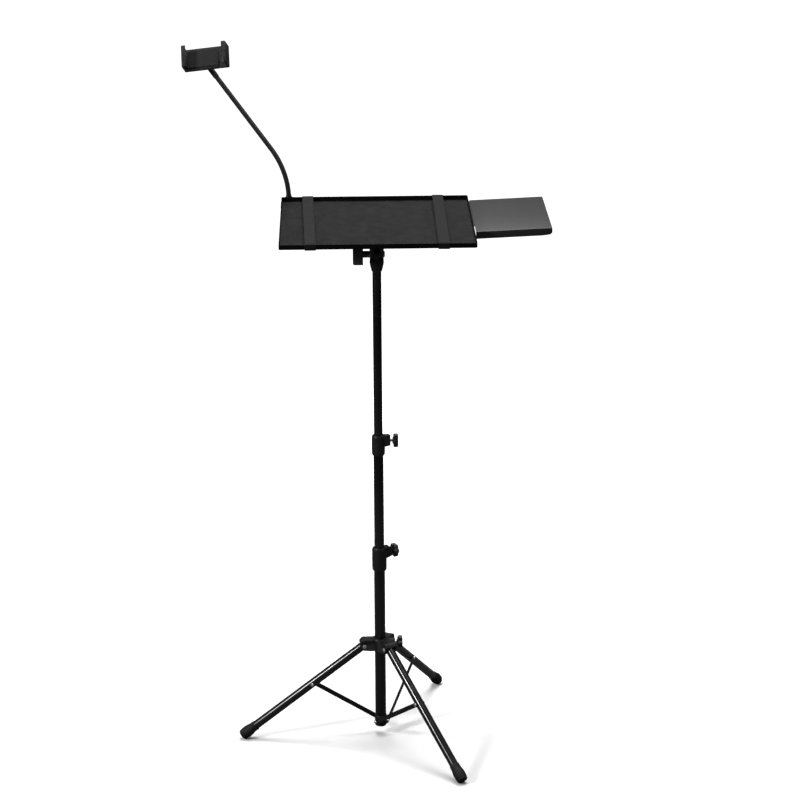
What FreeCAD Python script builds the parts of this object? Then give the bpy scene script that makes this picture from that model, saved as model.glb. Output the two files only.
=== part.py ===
"""Laptop and music stand: folding tripod, two telescopic stages, tilting lipped tray with two elastic
straps, a pull-out side shelf and a gooseneck phone holder.  Millimetres, +Z up.

The stand is modelled about the axis of its pole, with the floor at z = 0, and is moved at the end so that
the origin is the centre of its footprint box, on the floor.
"""
import FreeCAD
import Part
import math
import os
from FreeCAD import Vector, Rotation

# ---------------------------------------------------------------- driving dimensions (mm, degrees)
RUN = 0.05                      # radial running clearance of pins and shafts
GAP = 0.3                       # clearance between faces of different moving pieces

OUTER_R, MIDDLE_R, TOP_R = 12.0, 10.75, 9.4
OUTER_WALL, MIDDLE_WALL, TOP_WALL = 1.0, 1.0, 1.0

LEG_AZIMUTHS = {"left": 182.5, "front": 302.5, "back": 62.5}
LEG_R, LEG_WALL = 9.5, 1.2
LEG_PIVOT_R = 35.0              # hub pivots, from the pole axis
HUB_Z = 214.0                   # height of the hub pivots with the tripod spread
FOOT_CIRCLE_R = 309.0           # centres of the feet's end faces
FOOT_END_Z = 8.3
BRACE_ALONG_LEG = 146.0         # hub pivot to brace pivot, along the leg
BRACE_PIVOT_R, BRACE_PIVOT_Z = 3.0, 32.0
BRACE_WIDTH, BRACE_THICK = 10.0, 2.2
BRACE_STANDOFF = 0.9            # lower end of a brace, clear of the pole's shoe

BASE_BOTTOM_Z = 20.0
OUTER_BOTTOM_Z, OUTER_TOP_Z = 23.0, 428.0
MIDDLE_BOTTOM_Z, MIDDLE_TOP_Z = 268.0, 684.0
TOP_BOTTOM_Z, TOP_TOP_Z = 618.0, 1066.0

LOWER_COLLAR = {"z0": 386.0, "z1": 440.0, "r": 15.8, "azimuth": 27.0}
UPPER_COLLAR = {"z0": 648.0, "z1": 694.0, "r": 14.2, "azimuth": 0.0}
BOSS_HEIGHT, BOSS_WIDTH, BOSS_END_R = 24.0, 18.0, 26.0
HUB_KNOB_AZIMUTH, HUB_KNOB_Z, HUB_BOSS_END_R = 2.5, 218.5, 32.5

KNOB_R, HUB_KNOB_R, KNOB_LOBE, KNOB_THICK, KNOB_LOBES = 13.7, 12.0, 1.6, 12.5, 6
SCREW_R = 3.0
NUT_SIDE, NUT_THICK = 10.0, 5.0

HEAD_BOTTOM_Z = 1050.0
TILT_Z = 1086.0                 # tilt axis, across the stand
TRAY_TILT = 10.0                # front edge down
TRAY_WIDTH, TRAY_DEPTH, TRAY_LIP, TRAY_SHEET = 400.0, 300.0, 11.0, 1.2
TRAY_RISE = 62.0                # tilt axis to the tray's underside
TRAY_SET_BACK = 11.0            # tray centre behind the tilt axis, along the tray
FLANGE_LENGTH, FLANGE_DEPTH, FLANGE_THICK = 90.0, 64.0, 4.0

STRAP_WIDTH, STRAP_THICK, STRAP_CLEAR = 23.0, 1.2, 0.7
STRAPS = {"left_strap": (-140.0, 1.5), "right_strap": (134.0, -0.4)}    # place across the tray, skew

SHELF_WIDTH, SHELF_DEPTH, SHELF_FLANGE, SHELF_SHEET = 158.0, 202.0, 16.0, 1.5
SHELF_GAP = 4.0                 # tray edge to shelf edge
SHELF_RISE = 2.4                # degrees, the shelf is bent up from its tongue
TONGUE_REACH = 48.0             # under the tray
TONGUE_BACK_NOTCH, TONGUE_FRONT_NOTCH = 8.0, 36.0
SHELF_TRAVEL = 24.0
SHELF_KNOB_INSET = 14.0         # thumb screws, in from the tray's edge

ARM_X, ARM_BEHIND = -184.5, 10.0        # gooseneck socket: across the tray, behind its back edge
NECK_R, NECK_BEND_R = 5.3, 180.0
NECK_CORNER_Z = 1241.0
NECK_LEAN = 36.1                # degrees from upright, towards the left
NECK_STRAIGHT = 279.0           # from the corner to the arm's elbow
HOLDER_YAW, HOLDER_PITCH, HOLDER_ROLL = -12.0, 26.0, 7.5
HOLDER_INNER, HOLDER_HEIGHT, HOLDER_BACK = 84.0, 47.0, 8.0
JAW_DEPTH, JAW_THICK, JAW_LIP = 22.0, 6.0, 4.0
SOCKET_X = -7.0                 # ball socket, left of the middle of the holder
BALL_R, BALL_BEHIND = 6.0, 17.0         # ball centre behind the holder's case
ELBOW_BEHIND = 14.0             # the ball's stem meets the arm this far behind the ball

nodes = {}


# ---------------------------------------------------------------- helpers
def polar(azimuth, radius, z, clockwise=0.0):
    """A point by azimuth and radius, moved sideways by `clockwise` as seen from above."""
    a = math.radians(azimuth)
    x = radius * math.cos(a) + clockwise * math.sin(a)
    y = radius * math.sin(a) - clockwise * math.cos(a)
    return Vector(x, y, z)


def radial(azimuth):
    return polar(azimuth, 1.0, 0.0)


def clockwise_side(azimuth):
    return polar(azimuth, 0.0, 0.0, 1.0)


def cylinder(start, axis, radius, length):
    return Part.makeCylinder(radius, length, start, axis)


def tube(start, axis, outer, inner, length):
    return cylinder(start, axis, outer, length).cut(cylinder(start, axis, inner, length))


def box(x0, x1, y0, y1, z0, z1):
    return Part.makeBox(x1 - x0, y1 - y0, z1 - z0, Vector(x0, y0, z0))


def turned(profile):
    """A solid of revolution about Z from (radius, z) points."""
    wire = Part.makePolygon([Vector(r, 0, z) for r, z in profile + profile[:1]])
    return Part.Face(wire).revolve(Vector(0, 0, 0), Vector(0, 0, 1), 360)


def stand_on(shape, start, axis):
    """Move a shape made on the origin along +Z so that it starts at a point and runs along an axis."""
    moved = shape.copy()
    moved.Placement = FreeCAD.Placement(start, Rotation(Vector(0, 0, 1), axis)).multiply(moved.Placement)
    return moved


def vertical_slab(outline, azimuth, thickness, clockwise=0.0):
    """A slab standing in a radial plane: (radius, z) outline, centred on `clockwise`."""
    side = clockwise_side(azimuth)
    start = side * (clockwise - thickness / 2)
    points = [polar(azimuth, r, z) + start for r, z in outline]
    return Part.Face(Part.makePolygon(points + points[:1])).extrude(side * thickness)


def fused(shapes):
    whole = shapes[0].multiFuse(shapes[1:]) if len(shapes) > 1 else shapes[0]
    return whole.removeSplitter()


def edges_where(shape, test):
    return [e for e in shape.Edges if test(e)]


def upright_edges(shape):
    def upright(edge):
        if not isinstance(edge.Curve, Part.Line):
            return False
        return abs(abs(edge.Curve.Direction.z) - 1) < 1e-6
    return edges_where(shape, upright)


def rivet_head(start, axis, radius, height):
    dome = turned([(0, 0), (radius, 0), (radius * 0.94, height * 0.45), (radius * 0.72, height * 0.8),
                   (radius * 0.38, height), (0, height)])
    return stand_on(dome, start, axis)


def hex_prism(across, height, bore):
    corner = across / math.sqrt(3)
    points = [Vector(corner * math.cos(math.radians(60 * i)), corner * math.sin(math.radians(60 * i)), 0)
              for i in range(6)]
    prism = Part.Face(Part.makePolygon(points + points[:1])).extrude(Vector(0, 0, height))
    return prism.cut(Part.makeCylinder(bore, height))


def star_knob(radius, lobe, thickness, lobes, bore, neck=2.0):
    """Lobed hand knob along +Z: a short neck, the lobed grip with rounded rims, a dished outer face."""
    steps = lobes * 8
    points = []
    for i in range(steps):
        a = 2 * math.pi * i / steps
        r = radius + lobe * math.cos(lobes * a)
        points.append(Vector(r * math.cos(a), r * math.sin(a), neck))
    outline = Part.BSplineCurve()
    outline.interpolate(points, PeriodicFlag=True)
    grip = Part.Face(Part.Wire([outline.toShape()])).extrude(Vector(0, 0, thickness - neck))
    rims = edges_where(grip, lambda e: len(e.Vertexes) < 2)
    grip = grip.makeFillet(1.6, rims)
    neck_ring = Part.makeCylinder(radius * 0.55, neck + 1.0)
    dish = Part.makeCylinder(radius * 0.5, 1.2, Vector(0, 0, thickness - 1.2))
    knob = grip.fuse(neck_ring).cut(dish)
    return knob.cut(Part.makeCylinder(bore, thickness - 3.0)).removeSplitter()


def put(name, shape):
    nodes[name] = shape


# ---------------------------------------------------------------- places that several pieces share
def leg_direction(azimuth):
    down = FOOT_END_Z - HUB_Z
    out = FOOT_CIRCLE_R - LEG_PIVOT_R
    length = math.hypot(out, down)
    return polar(azimuth, out / length, down / length)


def leg_length():
    return math.hypot(FOOT_CIRCLE_R - LEG_PIVOT_R, HUB_Z - FOOT_END_Z)


def brace_top(azimuth):
    return polar(azimuth, LEG_PIVOT_R, HUB_Z) + leg_direction(azimuth) * BRACE_ALONG_LEG


def brace_bottom(azimuth):
    return polar(azimuth, BRACE_PIVOT_R, BRACE_PIVOT_Z)


def fold():
    """The folded tripod: hub travel (mm), leg turn and brace turn relative to its leg (degrees)."""
    lean = math.atan2(FOOT_CIRCLE_R - LEG_PIVOT_R, HUB_Z - FOOT_END_Z)
    top_r = LEG_PIVOT_R + BRACE_ALONG_LEG * math.sin(lean)
    top_z = HUB_Z - BRACE_ALONG_LEG * math.cos(lean)
    brace = math.hypot(top_r - BRACE_PIVOT_R, top_z - BRACE_PIVOT_Z)
    spread = math.atan2(top_z - BRACE_PIVOT_Z, top_r - BRACE_PIVOT_R)
    in_r = LEG_PIVOT_R - BRACE_PIVOT_R
    folded_z = BRACE_PIVOT_Z + math.sqrt(brace ** 2 - in_r ** 2)
    folded = math.atan2(folded_z - BRACE_PIVOT_Z, in_r)
    travel = folded_z + BRACE_ALONG_LEG - HUB_Z
    return travel, math.degrees(lean), math.degrees(lean + folded - spread)


def tray_place():
    """From the tray's own frame (origin on the tilt axis, Z square to the tray) to the stand."""
    return FreeCAD.Placement(Vector(0, 0, TILT_Z), Rotation(Vector(1, 0, 0), TRAY_TILT))


def on_tray(shape):
    moved = shape.copy()
    moved.Placement = tray_place().multiply(moved.Placement)
    return moved


def neck_directions():
    start = tray_place().Rotation.multVec(Vector(0, 0, 1))
    lean = math.radians(NECK_LEAN)
    return start, Vector(-math.sin(lean), 0, math.cos(lean))


def socket_base():
    """Centre of the gooseneck socket's bottom."""
    return tray_place().multVec(Vector(ARM_X, TRAY_SET_BACK + TRAY_DEPTH / 2 + ARM_BEHIND, TRAY_RISE - 14.0))


def neck_corner():
    start, _ = neck_directions()
    base = socket_base()
    return base + start * ((NECK_CORNER_Z - base.z) / start.z)


def elbow_centre():
    return neck_corner() + neck_directions()[1] * NECK_STRAIGHT


def holder_turn():
    turn = Rotation(Vector(0, 0, 1), HOLDER_YAW).multiply(Rotation(Vector(1, 0, 0), -HOLDER_PITCH))
    return turn.multiply(Rotation(Vector(0, 1, 0), -HOLDER_ROLL))


def ball_centre():
    return elbow_centre() - holder_turn().multVec(Vector(0, ELBOW_BEHIND, 0))


def holder_place():
    """From the phone holder's frame (X along the jaws' travel, -Y out of the back plate, Z up its
    height, origin in the middle of the plate's front) to the stand."""
    turn = holder_turn()
    forward = turn.multVec(Vector(0, -1, 0))
    sideways = turn.multVec(Vector(-SOCKET_X, 0, 0))
    return FreeCAD.Placement(ball_centre() + forward * (HOLDER_BACK + BALL_BEHIND) + sideways, turn)


def on_holder(shape):
    moved = shape.copy()
    moved.Placement = holder_place().multiply(moved.Placement)
    return moved


# ---------------------------------------------------------------- lock knobs
def lock_knob(name, azimuth, z, boss_end, tube_r, knob_r=KNOB_R):
    """A star knob with its screw and the square nut that it runs in; returns the nut's pocket."""
    out = radial(azimuth)
    knob_start = boss_end + 4.0
    tip = tube_r + GAP
    screw_end = knob_start + KNOB_THICK - 3.0
    put(name + "_knob", stand_on(star_knob(knob_r, KNOB_LOBE, KNOB_THICK, KNOB_LOBES, SCREW_R),
                                 polar(azimuth, knob_start, z), out))
    put(name + "_screw", cylinder(polar(azimuth, tip, z), out, SCREW_R, screw_end - tip))
    half = NUT_SIDE / 2
    nut = box(-half, half, -half, half, 0, NUT_THICK)
    nut_start = polar(azimuth, boss_end - 2.0 - NUT_THICK, z)
    bore = cylinder(polar(azimuth, 0, z), out, SCREW_R + RUN, boss_end + 2.0)
    put(name + "_nut", stand_on(nut, nut_start, out).cut(bore))
    clearance = cylinder(polar(azimuth, 0, z), out, SCREW_R + 0.4, boss_end + 2.0)
    return stand_on(nut, nut_start, out).fuse(clearance)


# ---------------------------------------------------------------- tripod
def make_outer_tube():
    put("outer_tube", tube(Vector(0, 0, OUTER_BOTTOM_Z), Vector(0, 0, 1), OUTER_R, OUTER_R - OUTER_WALL,
                           OUTER_TOP_Z - OUTER_BOTTOM_Z))


def make_pole_base():
    """Moulded shoe on the pole's lower end, with a flat pad for each brace."""
    body_r = OUTER_R + 1.3
    top = BASE_BOTTOM_Z + 26.0
    shoe = turned([(0, BASE_BOTTOM_Z), (body_r - 5.0, BASE_BOTTOM_Z), (body_r - 1.6, BASE_BOTTOM_Z + 1.6),
                   (body_r, BASE_BOTTOM_Z + 4.5), (body_r, top - 1.5), (body_r - 0.8, top), (0, top)])
    pads = [cylinder(brace_bottom(a) + clockwise_side(a) * 7.0, clockwise_side(a), 6.5, body_r - 7.0)
            for a in LEG_AZIMUTHS.values()]
    bore = cylinder(Vector(0, 0, OUTER_BOTTOM_Z), Vector(0, 0, 1), OUTER_R, 40.0)
    put("pole_base", fused([shoe] + pads).cut(bore))


def make_hub():
    """Sliding hub: a sleeve on the pole, three forks for the legs and a boss for the lock knob."""
    top, bottom = HUB_Z + 13.5, HUB_Z - 13.0
    sleeve = turned([(0, bottom), (16.5, bottom), (18.0, bottom + 1.5), (18.0, top - 1.0),
                     (15.5, top + 2.2), (0, top + 2.2)])
    fork_width, slot_width = 28.0, 2 * LEG_R + 1.0
    fork = [(4, HUB_Z - 11), (4, top), (37, top), (42, top - 2.2), (45.5, HUB_Z + 6.5),
            (45.5, HUB_Z + 3.5), (43, HUB_Z - 4.0), (39.5, HUB_Z - 8.5), (35, HUB_Z - 9.5), (22, HUB_Z - 11)]
    slot = [(22.5, HUB_Z - 20), (22.5, HUB_Z + 11.0), (37.5, HUB_Z + 11.0), (60, HUB_Z - 2.0),
            (60, HUB_Z - 20)]
    solid = [sleeve]
    holes = [cylinder(Vector(0, 0, bottom - 1), Vector(0, 0, 1), OUTER_R + RUN, 40)]
    rivets = []
    for azimuth in LEG_AZIMUTHS.values():
        block = vertical_slab(fork, azimuth, fork_width)
        solid.append(block.makeFillet(2.0, upright_edges(block)))
        holes.append(vertical_slab(slot, azimuth, slot_width))
        pivot, side = polar(azimuth, LEG_PIVOT_R, HUB_Z), clockwise_side(azimuth)
        pin = cylinder(pivot - side * (fork_width / 2), side, 2.5, fork_width)
        holes.append(pin)
        heads = [rivet_head(pivot + side * (fork_width / 2 * s), side * s, 4.6, 2.0) for s in (1, -1)]
        rivets.append(fused([pin] + heads))
    boss = cylinder(polar(HUB_KNOB_AZIMUTH, 10, HUB_KNOB_Z), radial(HUB_KNOB_AZIMUTH), 9.0, HUB_BOSS_END_R - 10)
    solid.append(boss)
    holes.append(lock_knob("hub", HUB_KNOB_AZIMUTH, HUB_KNOB_Z, HUB_BOSS_END_R, OUTER_R, HUB_KNOB_R))
    hub = fused(solid)
    for hole in holes:
        hub = hub.cut(hole)
    put("leg_hub", hub)
    put("hub_rivets", Part.makeCompound(rivets))


def make_leg(side_name, azimuth):
    axis, side = leg_direction(azimuth), clockwise_side(azimuth)
    pivot = polar(azimuth, LEG_PIVOT_R, HUB_Z)
    length = leg_length()
    above, foot_floor = 4.0, 6.0
    leg = tube(pivot - axis * above, axis, LEG_R, LEG_R - LEG_WALL, above + length - foot_floor)
    leg = leg.cut(cylinder(pivot - side * 15, side, 2.5 + RUN, 30))
    leg = leg.cut(cylinder(brace_top(azimuth) - side * 15, side, 2.0 + RUN, 30))
    put(side_name + "_leg", leg)

    boot = turned([(0, 0), (9.2, 0), (10.6, 0.8), (11.4, 2.2), (12.6, 10), (12.9, 16), (12.7, 20), (11.6, 26),
                   (11.0, 30), (10.9, 38), (10.4, 40), (0, 40)])
    boot = boot.cut(Part.makeCylinder(LEG_R, 40, Vector(0, 0, foot_floor)))
    put(side_name + "_foot", stand_on(boot, pivot + axis * length, axis * -1))


def make_brace(side_name, azimuth):
    """Flat strip beside its leg, turning on a rivet through the leg; its lower rivet rides on it."""
    side = clockwise_side(azimuth)
    low = brace_bottom(azimuth) + side * (OUTER_R + 1.3 + BRACE_STANDOFF)
    high = brace_top(azimuth) + side * (LEG_R + GAP + 0.15)
    along = high - low
    length = along.Length
    half = BRACE_WIDTH / 2
    strip = box(0, length, -half, half, 0, BRACE_THICK)
    for end in (0, length):
        strip = strip.fuse(cylinder(Vector(end, 0, 0), Vector(0, 0, 1), half, BRACE_THICK))
    rib = box(14, length - 14, -1.1, 1.1, BRACE_THICK, BRACE_THICK + 0.5)
    x_axis = Vector(along).normalize()
    y_axis = side.cross(x_axis).normalize()
    z_axis = x_axis.cross(y_axis)
    turn = Rotation(x_axis, y_axis, z_axis, "XYZ")
    strip = fused([strip, rib])
    strip.Placement = FreeCAD.Placement(low, turn)
    pin_start = brace_top(azimuth) - side * LEG_R
    pin_length = 2 * LEG_R + GAP + 0.15 + BRACE_THICK
    pin = cylinder(pin_start, side, 2.0, pin_length)
    bottom_pin = cylinder(low, side, 2.0, BRACE_THICK)
    upper = fused([pin, rivet_head(pin_start - side * 0.0, side * -1, 3.9, 1.8),
                   rivet_head(pin_start + side * (pin_length + 0.1), side, 3.9, 1.8),
                   cylinder(pin_start + side * pin_length, side, 2.0, 0.3)])
    lower = fused([bottom_pin, rivet_head(low + side * (BRACE_THICK + 0.1), side, 3.9, 1.8),
                   cylinder(low + side * BRACE_THICK, side, 2.0, 0.3)])
    holes = [cylinder(pin_start, side, 2.0 + RUN, pin_length), cylinder(low - side, side, 2.0 + RUN, BRACE_THICK + 2)]
    put(side_name + "_brace", strip.cut(holes[0]).cut(holes[1]))
    put(side_name + "_brace_rivets", Part.makeCompound([upper, lower]))


# ---------------------------------------------------------------- telescopic pole
def make_collar(name, size, tube_r, inner_tube_r, tube_top):
    """Moulded collar pinned over a tube's top, guiding the next tube and carrying its lock knob."""
    z0, z1, r, azimuth = size["z0"], size["z1"], size["r"], size["azimuth"]
    body = turned([(0, z0), (tube_r + 0.9, z0), (r - 0.2, z0 + 3.2), (r, z0 + 6), (r + 0.3, (z0 + z1) / 2),
                   (r, z1 - 6), (r - 0.3, z1 - 2.6), (r - 2.2, z1), (0, z1)])
    knob_z = z1 - BOSS_HEIGHT / 2 - 1.0
    half = BOSS_HEIGHT / 2
    boss = vertical_slab([(4, knob_z - half), (r, knob_z - half), (BOSS_END_R, knob_z - half + 3),
                          (BOSS_END_R, knob_z + half - 2.5), (BOSS_END_R - 3, knob_z + half),
                          (4, knob_z + half)], azimuth, BOSS_WIDTH)
    boss = boss.makeFillet(3.0, upright_edges(boss)[-2:])
    collar = fused([body, boss])
    up = Vector(0, 0, 1)
    collar = collar.cut(cylinder(Vector(0, 0, z0 - 1), up, tube_r, tube_top - z0 + 1))
    collar = collar.cut(cylinder(Vector(0, 0, z0 - 1), up, inner_tube_r + RUN, z1 - z0 + 2))
    put(name, collar.cut(lock_knob(name, azimuth, knob_z, BOSS_END_R, inner_tube_r)))
    return cylinder(polar(azimuth, 0, knob_z), radial(azimuth), SCREW_R + 0.6, 30)


def make_pole():
    up = Vector(0, 0, 1)
    hole = make_collar("lower_collar", LOWER_COLLAR, OUTER_R, MIDDLE_R, OUTER_TOP_Z)
    nodes["outer_tube"] = nodes["outer_tube"].cut(hole)
    hole = make_collar("upper_collar", UPPER_COLLAR, MIDDLE_R, TOP_R, MIDDLE_TOP_Z)
    middle = tube(Vector(0, 0, MIDDLE_BOTTOM_Z), up, MIDDLE_R, MIDDLE_R - MIDDLE_WALL,
                  MIDDLE_TOP_Z - MIDDLE_BOTTOM_Z)
    put("middle_tube", middle.cut(hole))
    top = tube(Vector(0, 0, TOP_BOTTOM_Z), up, TOP_R, TOP_R - TOP_WALL, TOP_TOP_Z - TOP_BOTTOM_Z)
    put("top_tube", top)
    # plastic glide on the lower end of each moving tube
    for name, z, tube_r, bore_r in (("middle_tube_glide", MIDDLE_BOTTOM_Z, MIDDLE_R, OUTER_R - OUTER_WALL),
                                    ("top_tube_glide", TOP_BOTTOM_Z, TOP_R, MIDDLE_R - MIDDLE_WALL)):
        glide = tube(Vector(0, 0, z - 6), up, bore_r - RUN, tube_r - 2.4, 6)
        put(name, glide)


# ---------------------------------------------------------------- head
def make_head():
    z0 = HEAD_BOTTOM_Z
    shoulder = TILT_Z - 12.5
    socket = turned([(0, z0), (10.4, z0), (11.2, z0 + 1.2), (14.4, z0 + 14), (15.0, z0 + 18), (15.0, shoulder),
                     (0, shoulder)])
    eye_r, eye_half = 12.0, 6.5
    eye = cylinder(Vector(-eye_half, 0, TILT_Z), Vector(1, 0, 0), eye_r, 2 * eye_half)
    tongue = box(-eye_half, eye_half, -eye_r, eye_r, shoulder - 4, TILT_Z)
    head = fused([socket, tongue, eye])
    head = head.cut(cylinder(Vector(0, 0, z0 - 1), Vector(0, 0, 1), TOP_R + RUN, TOP_TOP_Z - z0 + 1))
    head = head.cut(cylinder(Vector(-20, 0, TILT_Z), Vector(1, 0, 0), 4.0 + RUN, 40))
    screw = cylinder(Vector(0, TOP_R + 0.15, z0 + 9), Vector(0, 1, 0), 1.9, 2.65)
    screw_head = rivet_head(Vector(0, TOP_R + 2.6, z0 + 9), Vector(0, 1, 0), 3.6, 1.8)
    set_screw = fused([screw, screw_head])
    put("head_socket", head.cut(set_screw))
    put("head_screw", set_screw)


def make_tilt_bracket():
    """Fork under the tray, made in the tray's frame with the tilt axis on the origin."""
    inner, outer, round_r = 6.5 + GAP, 14.6, 12.2
    top = TRAY_RISE - FLANGE_THICK
    parts = []
    for s in (1, -1):
        x0, x1 = sorted((s * inner, s * outer))
        parts.append(cylinder(Vector(x0, 0, 0), Vector(1, 0, 0), round_r, x1 - x0))
        parts.append(box(x0, x1, -round_r, round_r, 0, top))
    parts.append(box(-outer, outer, -round_r, round_r, 18.0, top))
    flange = box(-FLANGE_LENGTH / 2, FLANGE_LENGTH / 2, TRAY_SET_BACK - FLANGE_DEPTH / 2,
                 TRAY_SET_BACK + FLANGE_DEPTH / 2, top, TRAY_RISE)
    flange = flange.makeFillet(6.0, upright_edges(flange))
    for s in (1, -1):
        outline = [Vector(s * outer, 0, 22), Vector(s * outer, 0, top), Vector(s * 40, 0, top)]
        gusset = Part.Face(Part.makePolygon(outline + outline[:1])).extrude(Vector(0, 4, 0))
        parts.append(gusset)
    bracket = fused(parts + [flange])
    bracket = bracket.cut(cylinder(Vector(-20, 0, 0), Vector(1, 0, 0), 4.0, 40))
    stud_places = [(sx * (FLANGE_LENGTH / 2 - 11), TRAY_SET_BACK + sy * (FLANGE_DEPTH / 2 - 10))
                   for sx in (1, -1) for sy in (1, -1)]
    nuts = []
    for x, y in stud_places:
        bracket = bracket.cut(cylinder(Vector(x, y, top - 10), Vector(0, 0, 1), 2.5, 20))
        nut = hex_prism(8.0, 4.0, 2.5)
        nut.translate(Vector(x, y, top - 4.0))
        nuts.append(nut)
    put("tilt_bracket", on_tray(bracket))
    put("tray_nuts", on_tray(Part.makeCompound(nuts)))
    return stud_places


def make_tilt_lock():
    """Cross bolt through fork and head, and the tee handle that clamps it on the left."""
    bolt_head = stand_on(turned([(0, 0), (6.6, 0), (6.6, 1.6), (5.6, 2.6), (0, 2.6)]), Vector(14.6, 0, 0),
                         Vector(1, 0, 0))
    bolt = fused([cylinder(Vector(-33, 0, 0), Vector(1, 0, 0), 4.0, 33 + 14.6), bolt_head])
    put("tilt_bolt", on_tray(bolt))
    washer = tube(Vector(-14.6 - 1.2, 0, 0), Vector(1, 0, 0), 7.2, 4.0 + RUN, 1.2)
    put("tilt_washer", on_tray(washer))
    boss_x = -14.6 - 1.2 - 0.1
    boss = cylinder(Vector(-30, 0, 0), Vector(1, 0, 0), 7.2, 30 + boss_x)
    tee = box(-50, -28.5, -7.5, 7.5, -22, 22)
    tee = tee.makeFillet(3.4, edges_where(tee, lambda e: all(v.X < -49 for v in e.Vertexes)))
    handle = fused([boss, tee])
    handle = handle.cut(cylinder(Vector(-35, 0, 0), Vector(1, 0, 0), 4.0 + RUN, 25))
    insert = stand_on(hex_prism(11.0, 7.0, 4.0 + RUN), Vector(-29, 0, 0), Vector(1, 0, 0))
    solid_insert = stand_on(hex_prism(11.0, 7.0, 1.0), Vector(-29, 0, 0), Vector(1, 0, 0))
    handle = handle.cut(solid_insert)
    lift = FreeCAD.Placement(Vector(0, 0, TILT_Z), Rotation())
    for name, shape in (("tilt_handle", handle), ("tilt_handle_nut", insert)):
        shape.Placement = lift.multiply(shape.Placement)
        put(name, shape)


# ---------------------------------------------------------------- tray
def tray_box(margin, z0, z1):
    half_w, half_d = TRAY_WIDTH / 2 - margin, TRAY_DEPTH / 2 - margin
    shape = box(-half_w, half_w, TRAY_SET_BACK - half_d, TRAY_SET_BACK + half_d, TRAY_RISE + z0, TRAY_RISE + z1)
    return shape.makeFillet(max(3.0 - margin, 0.6), upright_edges(shape))


def make_tray(stud_places):
    tray = tray_box(0, 0, TRAY_LIP).cut(tray_box(TRAY_SHEET, TRAY_SHEET, TRAY_LIP + 1))
    studs = [cylinder(Vector(x, y, TRAY_RISE - 9.5), Vector(0, 0, 1), 2.5, 9.5) for x, y in stud_places]
    put("tray", on_tray(fused([tray] + studs)))


def make_strap(name):
    """Elastic loop round the tray from front to back, stretched flat across its lips."""
    place, skew = STRAPS[name]
    half_d, t = TRAY_DEPTH / 2 + STRAP_CLEAR, STRAP_THICK
    half_w = STRAP_WIDTH / 2
    outer = box(-half_w, half_w, -half_d - t, half_d + t, -GAP - t, TRAY_LIP + GAP + t)
    inner = box(-half_w - 1, half_w + 1, -half_d, half_d, -GAP, TRAY_LIP + GAP)
    loop = outer.cut(inner)
    loop.Placement = FreeCAD.Placement(Vector(place, TRAY_SET_BACK, TRAY_RISE), Rotation(Vector(0, 0, 1), skew))
    put(name, on_tray(loop))


# ---------------------------------------------------------------- side shelf
def shelf_knob_places():
    x = TRAY_WIDTH / 2 - SHELF_KNOB_INSET
    back = TRAY_SET_BACK + TRAY_DEPTH / 2
    return [("front", x, back - SHELF_DEPTH + 62.0), ("back", x, back - 34.0)]


def make_shelf():
    """Pressed pan beside the tray; its flat tongue lies under the tray and slides on two slots."""
    edge = TRAY_WIDTH / 2 + SHELF_GAP
    back = TRAY_SET_BACK + TRAY_DEPTH / 2
    front = back - SHELF_DEPTH
    top = TRAY_RISE - GAP
    pan = box(0, SHELF_WIDTH, front, back, -SHELF_FLANGE, 0)
    def outer_right(edge_):
        return all(v.X > SHELF_WIDTH - 0.1 for v in edge_.Vertexes) and (
            all(v.Y < front + 0.1 for v in edge_.Vertexes) or all(v.Y > back - 0.1 for v in edge_.Vertexes))
    def lower_right(edge_):
        return all(v.X > SHELF_WIDTH - 0.1 and v.Z < 0.1 - SHELF_FLANGE for v in edge_.Vertexes)
    pan = pan.makeFillet(2.0, edges_where(pan, outer_right))
    pan = pan.makeFillet(7.0, edges_where(pan, lower_right))
    inside = box(-1, SHELF_WIDTH - SHELF_SHEET, front + SHELF_SHEET, back - SHELF_SHEET,
                 -SHELF_FLANGE - 1, -SHELF_SHEET)
    pan = pan.cut(inside)
    pan.Placement = FreeCAD.Placement(Vector(edge, 0, top), Rotation(Vector(0, 1, 0), -SHELF_RISE))
    tongue = box(TRAY_WIDTH / 2 - TONGUE_REACH, edge + 0.6, front + TONGUE_FRONT_NOTCH,
                 back - TONGUE_BACK_NOTCH, top - SHELF_SHEET, top)
    shelf = fused([tongue, pan])
    half = 3.0
    for _, x, y in shelf_knob_places():
        slot = box(x - SHELF_TRAVEL, x, y - half, y + half, top - 5, top + 5)
        for end in (x - SHELF_TRAVEL, x):
            slot = slot.fuse(cylinder(Vector(end, y, top - 5), Vector(0, 0, 1), half, 10))
        shelf = shelf.cut(slot)
    put("side_shelf", on_tray(shelf))
    down = Vector(0, 0, -1)
    for name, x, y in shelf_knob_places():
        start = Vector(x, y, top - SHELF_SHEET - GAP)
        grip = stand_on(star_knob(9.0, 1.0, 10.0, 6, 2.5, neck=1.5), start, down)
        stud = cylinder(Vector(x, y, TRAY_RISE - 0.2), down, 2.5, 8.0)
        put("shelf_knob_" + name, on_tray(Part.makeCompound([grip, stud])))


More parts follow.
